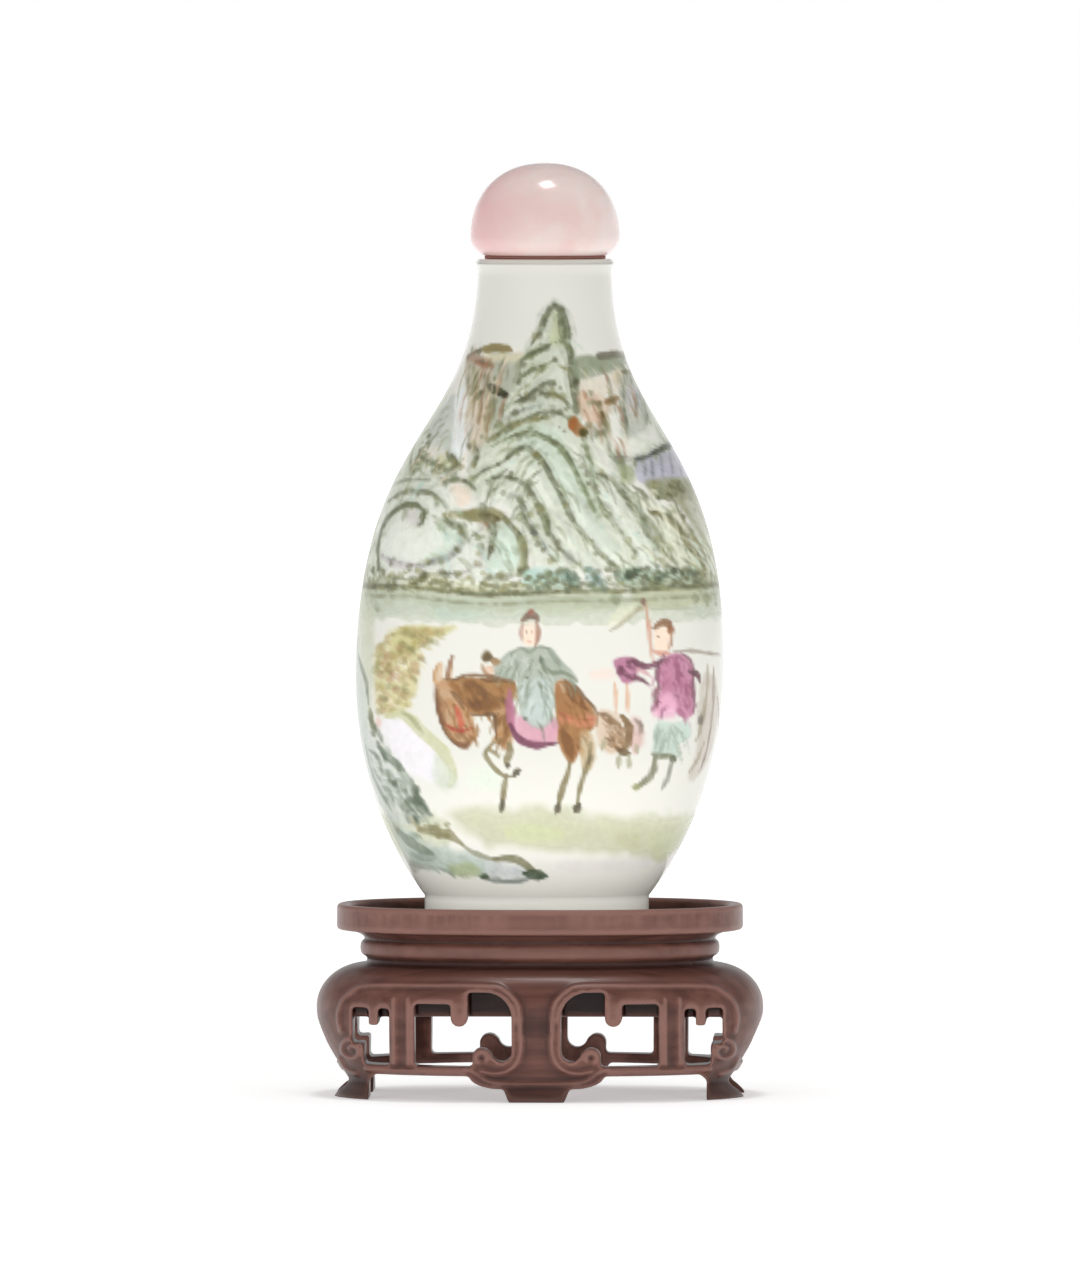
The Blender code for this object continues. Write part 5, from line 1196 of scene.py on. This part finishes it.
def stand_profile():
    """(distance in from the apron's swell, height) from the middle of the tray round to the underside."""
    lip, soft = tray_lip + rim_inset, rim_height / 8
    tray_floor = stand_height - tray_depth
    points = quarter((lip + 3 * soft, tray_floor), (lip, tray_floor + 2 * soft), 5, sideways=True)
    points += [(lip, tray_floor + 2 * soft)]
    points += quarter((lip, stand_height - soft), (lip - soft, stand_height), 5)
    points += quarter((rim_inset + soft, stand_height), (rim_inset, stand_height - soft), 5, sideways=True)
    rim_under = stand_height - rim_height
    bead_top = rim_under - cavetto_height
    bead_under = bead_top - bead_height
    points += quarter((rim_inset, rim_under + soft), (rim_inset + soft, rim_under), 5)
    points += quarter((rim_inset + soft, rim_under), (waist_inset, bead_top), 12, sideways=True)
    for step in range(13):
        turn = math.pi * step / 12
        out = (waist_inset - bead_inset) * abs(math.sin(turn)) ** 0.6
        points.append((waist_inset - out, (bead_top + bead_under) / 2 + bead_height / 2 * math.cos(turn)))
    points.append((waist_inset + cove_height / 4, (bead_under + apron_height) / 2))
    points += quarter((waist_inset, apron_height), (0, swell_at), 18, sideways=True)
    fall = swell_at - ankle_at
    points += bezier((0, swell_at), (0, -fall / 2), (-ankle_inset / 5, fall / 4), (ankle_inset, ankle_at), 20)
    pull = ankle_at / 3
    points += bezier((ankle_inset, ankle_at), (0, -pull), (0, pull), (toe_inset, 0), 8)
    return points + [(toe_inset, 0)]


def stand_rings():
    """The rings of the uncut stand, from the middle of the tray's floor round to the middle of the underside."""
    squareness = 2.4
    found = [((0, 0, stand_height - tray_depth), squareness, 0)]
    for inset, height in stand_profile():
        across = stand_width / 2 - inset
        found.append(((across, across * stand_depth / stand_width, height), squareness, 0))
    return [*found, ((0, 0, 0), squareness, 0)]


def wide_outline(width):
    inner, rail = middle_post / 2, rail_underside + rail_height
    outer, outer_top = inner + width, wide_top - wide_step
    scroll = (inner + scroll_at, rail + scroll_rise - scroll_round)
    dip = (scroll[0] - scroll_round - inner) / 2
    hook, tip, half = inner + hook_at, wide_top - hook_drop, hook_width / 2
    outline = arc((inner + dip, rail + scroll_dip + dip), dip, 180, 360, 16)
    outline += arc(scroll, scroll_round, 180, -20, 16)
    outline += [(scroll[0] + scroll_round, rail), (outer, rail), (outer, outer_top), (hook + half, outer_top)]
    outline += arc((hook, tip + half), half, 0, -180, 12) + [(hook - half, wide_top)]
    return outline + arc((inner + top_round, wide_top - top_round), top_round, 90, 180, 12)


def narrow_outline(top):
    inner, rail = middle_post / 2 + wide_opening + side_post, rail_underside + rail_height
    outer = inner + narrow_opening
    fret = [(outer - fret_width, rail), (outer - fret_width, rail + fret_rise), (outer, rail + fret_rise)]
    left, right = inner + tooth_at - tooth_width / 2, inner + tooth_at + tooth_width / 2
    tip = core_underside - tooth_drop
    return [(inner, rail), *fret, (outer, top), (right, top), (right, tip), (left, tip), (left, top),
        (inner, top)]


def under_rail_outline():
    leg = middle_post / 2 + wide_opening + side_post + narrow_opening - leg_inner
    neck, bowl, rise = pendant_neck / 2, pendant_bowl / 2, rail_underside - pendant_neck_at
    outline = [(pendant_toe / 2, -rail_underside), (pendant_toe / 2, 0), (neck, pendant_neck_at)]
    outline += quarter((neck + rise / 4, pendant_neck_at), (bowl, rail_underside), 12, sideways=True)
    outline += [(bowl, rail_underside), (leg - rise / 2, rail_underside), (leg, rail_underside - rise / 2)]
    return outline + [(leg, 0), (leg, -rail_underside)]


def end_outlines():
    half, rail = end_opening / 2, rail_underside + rail_height
    spring = (rail + end_top) / 2
    left = quarter((-half, spring), (0, end_top), 12)
    hole = [(-half, rail), *left, (0, end_top), *[(-across, height) for across, height in reversed(left)],
        (half, rail)]
    toe, ankle = end_gap / 2, end_gap / 2 + end_ankle
    right = [(toe, -rail_underside), (toe, 0), (ankle, toe_height), (ankle, ankle_at)]
    right += [(ankle - end_ankle / 2, rail_underside)]
    return hole, right + [(-across, height) for across, height in reversed(right)]


def prism(outline, near, far, along="Y", hand=1):
    """A closed block with a flat outline of (across, height) points, from near to far along Y or X."""
    count = len(outline)
    points = []
    for depth in (near, far):
        for across, height in outline:
            points.append((hand * across, depth, height) if along == "Y" else (depth, across, height))
    sides = [(i, (i + 1) % count, count + (i + 1) % count, count + i) for i in range(count)]
    mesh = bpy.data.meshes.new("cutter")
    mesh.from_pydata(points, [], [tuple(range(count)), tuple(range(2 * count - 1, count - 1, -1)), *sides])
    return mesh


wood, wood_tree, wood_shader = new_material("polished_hardwood")
stand = throw("carved_stand", stand_rings(), wood, 257)
cutters = bpy.data.collections.new("stand_cutters")
beyond = stand_depth
hollow_across = stand_width / 2 - ankle_inset - leg_wall
hollow_deep = (stand_width / 2 - ankle_inset) * stand_depth / stand_width - leg_wall
reach = (middle_post / 2 + wide_opening) / hollow_across
past_wall = hollow_deep * (1 - reach**2) ** 0.5
hollow_rings = [((0, 0, core_underside), 2.0, 0)]
for height in (core_underside, 0, -rail_underside):
    widen = leg_wall / 2 * max(height, 0) / core_underside
    hollow_rings.append(((hollow_across + widen, hollow_deep + widen, height), 2.0, 0))
hollow_rings.append(((0, 0, -rail_underside), 2.0, 0))
hollow = throw("hollow", hollow_rings, wood, 129)
cutting = [prism(outline, -stand_width, stand_width, "X") for outline in end_outlines()]
for hand in (-1, 1):
    for near, far, width in ((-beyond, -past_wall, wide_opening), (past_wall, beyond, wide_back_opening)):
        cutting += [prism(outline, near, far, hand=hand) for outline in (wide_outline(width),
            narrow_outline(narrow_top))]
    for outline in (narrow_outline(core_underside), under_rail_outline()):
        cutting.append(prism(outline, -beyond, beyond, hand=hand))
blocks = [bpy.data.objects.new("cutter", mesh) for mesh in cutting] + [hollow]
for block in blocks:
    if block.name in bpy.context.scene.collection.objects:
        bpy.context.scene.collection.objects.unlink(block)
    cutters.objects.link(block)
bpy.context.scene.collection.children.link(cutters)
for block in blocks:
    build = bmesh.new()
    build.from_mesh(block.data)
    bmesh.ops.recalc_face_normals(build, faces=build.faces)
    build.to_mesh(block.data)
    build.free()
carve = stand.modifiers.new("carve", "BOOLEAN")
carve.operation, carve.operand_type, carve.collection, carve.solver = "DIFFERENCE", "COLLECTION", cutters, "EXACT"
bpy.context.view_layer.update()
cut_mesh = bpy.data.meshes.new_from_object(stand.evaluated_get(bpy.context.evaluated_depsgraph_get()))
stand.modifiers.clear()
stand.data = cut_mesh
for block in blocks:
    bpy.data.objects.remove(block, do_unlink=True)
bpy.data.collections.remove(cutters)

voxel = stand.modifiers.new("voxel", "REMESH")
voxel.mode, voxel.voxel_size, voxel.use_smooth_shade = "VOXEL", 0.00016, True
soften = stand.modifiers.new("soften", "SMOOTH")
soften.factor, soften.iterations = 0.5, 5


def settled(made):
    """The piece's mesh with its modifiers worked in, in its material."""
    bpy.context.view_layer.update()
    mesh = bpy.data.meshes.new_from_object(made.evaluated_get(bpy.context.evaluated_depsgraph_get()))
    made.modifiers.clear()
    made.data = mesh
    mesh.materials.clear()
    mesh.materials.append(wood)
    mesh.shade_smooth()
    return mesh


def points_of(mesh):
    flat = np.empty(len(mesh.vertices) * 3)
    mesh.vertices.foreach_get("co", flat)
    return flat.reshape(-1, 3)


# The carved lines: beads in millimetres along the openings, on the side posts, round the scrolls and on the knees.
scroll_middle = (1000 * (middle_post / 2 + scroll_at),
    1000 * (rail_underside + rail_height + scroll_rise - scroll_round))
knee_middle, knee_radius = (17.3, 4.6), 1.35
knee = []
for step in range(25):
    turn, radius = math.radians(200 - 22 * step), knee_radius * (1 - step / 32)
    knee.append((knee_middle[0] + radius * math.cos(turn), knee_middle[1] + radius * math.sin(turn)))
bead_lines = ([(18.4, 6.5), (18.6, 7.8), (18.2, 9.2), (17.2, 10.2), (15.6, 10.8), (10, 10.95), (4.4, 10.95),
    (3, 10.6), (1.9, 9.6), (1.5, 8.4), (1.45, 6.5), (1.45, 4.8), (1.9, 3.6), (2.8, 2.9), (4, 2.7),
    (5.2, 2.9)], arc(scroll_middle, 0.5, 220, -60, 10), [(11.95, 3.5), (11.95, 9.6)],
    [(13.3, 3.5), (13.3, 9.6)], [(6.6, 2.85), (16, 2.85)], [(0, 1.75), (3, 1.75), (4.6, 2), (5.6, 2.7),
    (6.6, 3.1)], knee, [(18.6, 3.6), (18, 2.7), (17, 2.3)],)
bead_rise, bead_spread = 0.00026, 0.24

mesh = settled(stand)
points = points_of(mesh)
profile = sorted((z, inset) for inset, z in stand_profile() if z <= apron_height)
half = stand_width / 2 - np.interp(points[:, 2], [z for z, _ in profile], [inset for _, inset in profile])
share = np.minimum(np.abs(points[:, 0]) / half, 0.999)
face = half * stand_depth / stand_width * (1 - share**2.4) ** (1 / 2.4)
outside = np.nonzero((np.abs(points[:, 1]) > face - 0.0004) & (points[:, 2] < apron_height))[0]
flat = 1000 * np.stack([np.abs(points[outside, 0]), points[outside, 2]], axis=1)
gap = np.min([distances(flat, rounded(line))[0] for line in bead_lines], axis=0)
rise = bead_rise * np.exp(-((gap / bead_spread) ** 2))
outward = points[outside] * (1, (stand_width / stand_depth) ** 2, 0)
outward /= np.linalg.norm(outward, axis=1)[:, None]
points[outside] += outward * rise[:, None]
mesh.vertices.foreach_set("co", points.ravel())
light = stand.modifiers.new("light", "DECIMATE")
light.ratio = min(0.5, 95000 / len(mesh.polygons))
mesh = settled(stand)

# Where the carving stands proud or lies deep, from each point's height over the smoothed surface around it.
points = points_of(mesh)
number = len(points)
ends = np.empty(len(mesh.edges) * 2, np.int32)
mesh.edges.foreach_get("vertices", ends)
ends = ends.reshape(-1, 2)
both, other = np.concatenate([ends[:, 0], ends[:, 1]]), np.concatenate([ends[:, 1], ends[:, 0]])
count = np.maximum(np.bincount(both, minlength=number), 1)
normals = np.empty(number * 3)
mesh.vertex_normals.foreach_get("vector", normals)
even = points
for _ in range(8):
    even = np.stack([np.bincount(both, even[other, axis], number) / count for axis in range(3)], axis=1)
proud = ((points - even) * normals.reshape(-1, 3)).sum(axis=1) / 0.00006
for _ in range(4):
    proud = 0.5 * proud + 0.5 * np.bincount(both, proud[other], number) / count
mesh.attributes.new("proud", "FLOAT", "POINT").data.foreach_set("value",
    np.clip(0.5 + 0.5 * proud, 0, 1).astype(np.float32))

place = add_node(wood_tree, "ShaderNodeTexCoord").outputs["Object"]
stretch = add_node(wood_tree, "ShaderNodeMapping", {"Vector": place, "Scale": (90.0, 900.0, 900.0)})
grain = add_node(wood_tree, "ShaderNodeTexNoise", {"Vector": stretch.outputs[0], "Scale": 1.0, "Detail": 6.0})
ramp = add_node(wood_tree, "ShaderNodeValToRGB", {"Fac": grain.outputs["Fac"]})
ramp.color_ramp.elements[0].position, ramp.color_ramp.elements[0].color = 0.3, (0.078, 0.030, 0.022, 1)
ramp.color_ramp.elements[1].position, ramp.color_ramp.elements[1].color = 0.75, (0.164, 0.071, 0.054, 1)
carving = add_node(wood_tree, "ShaderNodeAttribute", attribute_name="proud").outputs["Fac"]
# Partly wear and partly painted highlight: the wood is made lighter where the carving stands proud.
wear_and_highlight = add_node(wood_tree, "ShaderNodeMapRange", {"Value": carving, "From Min": 0.66, "From Max": 1.0,
    "To Max": 0.6}).outputs[0]
# Painted shade: the wood is made near black where the carving lies deep.
sunk = add_node(wood_tree, "ShaderNodeMapRange", {"Value": carving, "From Min": 0.45, "From Max": 0.0,
    "To Max": 0.85}).outputs[0]
deep = add_node(wood_tree, "ShaderNodeMix", {"Factor": sunk}, data_type="RGBA")
wood_tree.links.new(ramp.outputs["Color"], deep.inputs[6])
deep.inputs[7].default_value = (0.022, 0.007, 0.006, 1)
polish_and_highlight = add_node(wood_tree, "ShaderNodeMix", {"Factor": wear_and_highlight}, data_type="RGBA")
wood_tree.links.new(deep.outputs[2], polish_and_highlight.inputs[6])
polish_and_highlight.inputs[7].default_value = (0.27, 0.14, 0.115, 1)
height = add_node(wood_tree, "ShaderNodeSeparateXYZ", {0: place}).outputs["Z"]
# The wood's colour is made darker toward the bottom, down to 0.4 of itself at the floor.
low_darkening = add_node(wood_tree, "ShaderNodeMapRange", {"Value": height, "From Max": 0.0032,
    "To Min": 0.4}).outputs[0]
darkened_low = add_node(wood_tree, "ShaderNodeVectorMath", {0: polish_and_highlight.outputs[2], "Scale": low_darkening},
    operation="SCALE")
wood_tree.links.new(darkened_low.outputs[0], wood_shader.inputs["Base Color"])
wood_shader.inputs["Roughness"].default_value = 0.34
wood_shader.inputs["Specular IOR Level"].default_value = 0.3
wood_shader.inputs["Coat Weight"].default_value = 0.05
wood_shader.inputs["Coat Roughness"].default_value = 0.12
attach(stand, "root")
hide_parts("wood_stand")

# Studio.
# A white light table inside a low ring of soft light that is strongest in front, and a camera straight on.
glow_near, glow_far, top_watts, snoot_watts = 0.42, 0.75, 0.9, 108.0
sky_front, sky_rim, sky_high, sky_sides = 0.22, 0.6, 0.4, 0.4
floor_mesh = bpy.data.meshes.new("floor")
floor_mesh.from_pydata([(-4, -4, 0), (4, -4, 0), (4, 4, 0), (-4, 4, 0)], [], [(0, 1, 2, 3)])
floor = bpy.data.objects.new("floor", floor_mesh)
bpy.context.scene.collection.objects.link(floor)
paper, paper_tree, paper_shader = new_material("paper")
paper_shader.inputs["Base Color"].default_value = (0.9, 0.9, 0.9, 1)
paper_shader.inputs["Roughness"].default_value = 0.9
paper_shader.inputs["Specular IOR Level"].default_value = 0.0
paper_shader.inputs["Emission Color"].default_value = (1, 1, 1, 1)
away = add_node(paper_tree, "ShaderNodeVectorMath", {0: add_node(paper_tree,
    "ShaderNodeTexCoord").outputs["Object"]}, operation="LENGTH")
reach = {"Value": away.outputs["Value"], "From Min": 0.06, "From Max": 0.4, "To Min": glow_near,
    "To Max": glow_far}
lit = add_node(paper_tree, "ShaderNodeMapRange", reach)
paper_tree.links.new(lit.outputs[0], paper_shader.inputs["Emission Strength"])
floor_mesh.materials.append(paper)

target = Vector((0, 0, 0.043))


def aimed(name, data, place, at):
    made = bpy.data.objects.new(name, data)
    bpy.context.scene.collection.objects.link(made)
    made.location = place
    made.rotation_euler = (Vector(at) - Vector(place)).to_track_quat("-Z", "Y").to_euler()
    return made


def softbox(name, place, size, watts):
    lamp = bpy.data.lights.new(name, "AREA")
    lamp.shape, lamp.size, lamp.size_y, lamp.energy = "RECTANGLE", size[0], size[1], watts
    return aimed(name, lamp, place, target)


softbox("top", (0.02, -0.03, 0.62), (0.12, 0.12), top_watts)
for side in (-1, 1):
    snoot = bpy.data.lights.new("snoot", "SPOT")
    snoot.energy, snoot.spot_size, snoot.spot_blend, snoot.shadow_soft_size = snoot_watts, math.radians(2.4), 1.0, 0.05
    aimed("snoot", snoot, (side * 0.75, -1.1, 0.1), (0, 0, 0.014)).visible_glossy = False
azimuth, elevation, distance = math.radians(1.5), math.radians(1.93), 1.6
outward = (math.sin(azimuth) * math.cos(elevation), -math.cos(azimuth) * math.cos(elevation),
    math.sin(elevation))
camera = aimed("camera", bpy.data.cameras.new("camera"), target + distance * Vector(outward), target)
camera.data.lens = 480.6
bpy.context.scene.camera = camera
world = bpy.data.worlds.new("studio")
bpy.context.scene.world = world
world.use_nodes = True
sky = world.node_tree
way = add_node(sky, "ShaderNodeSeparateXYZ",
    {0: add_node(sky, "ShaderNodeTexCoord").outputs["Generated"]}).outputs
low = add_node(sky, "ShaderNodeMapRange", {"Value": way["Z"], "From Min": 0.3, "From Max": 0.12}).outputs[0]
ahead = add_node(sky, "ShaderNodeMapRange", {"Value": way["Y"], "From Min": 0.0, "From Max": -0.7}).outputs[0]
beside = add_node(sky, "ShaderNodeMapRange", {"Value": calc(sky, "ABSOLUTE", way["X"]), "From Min": 0.5,
    "From Max": 0.95})
dimmed = calc(sky, "MULTIPLY_ADD", beside.outputs[0], -sky_sides, 1.0)
band = calc(sky, "MULTIPLY", calc(sky, "MULTIPLY", low, dimmed), calc(sky, "MULTIPLY_ADD", ahead, sky_front,
    sky_rim))
sky.links.new(calc(sky, "ADD", band, sky_high), sky.nodes["Background"].inputs["Strength"])
sky.nodes["Background"].inputs["Color"].default_value = (1, 1, 1, 1)
bpy.context.scene.view_settings.view_transform = "Standard"
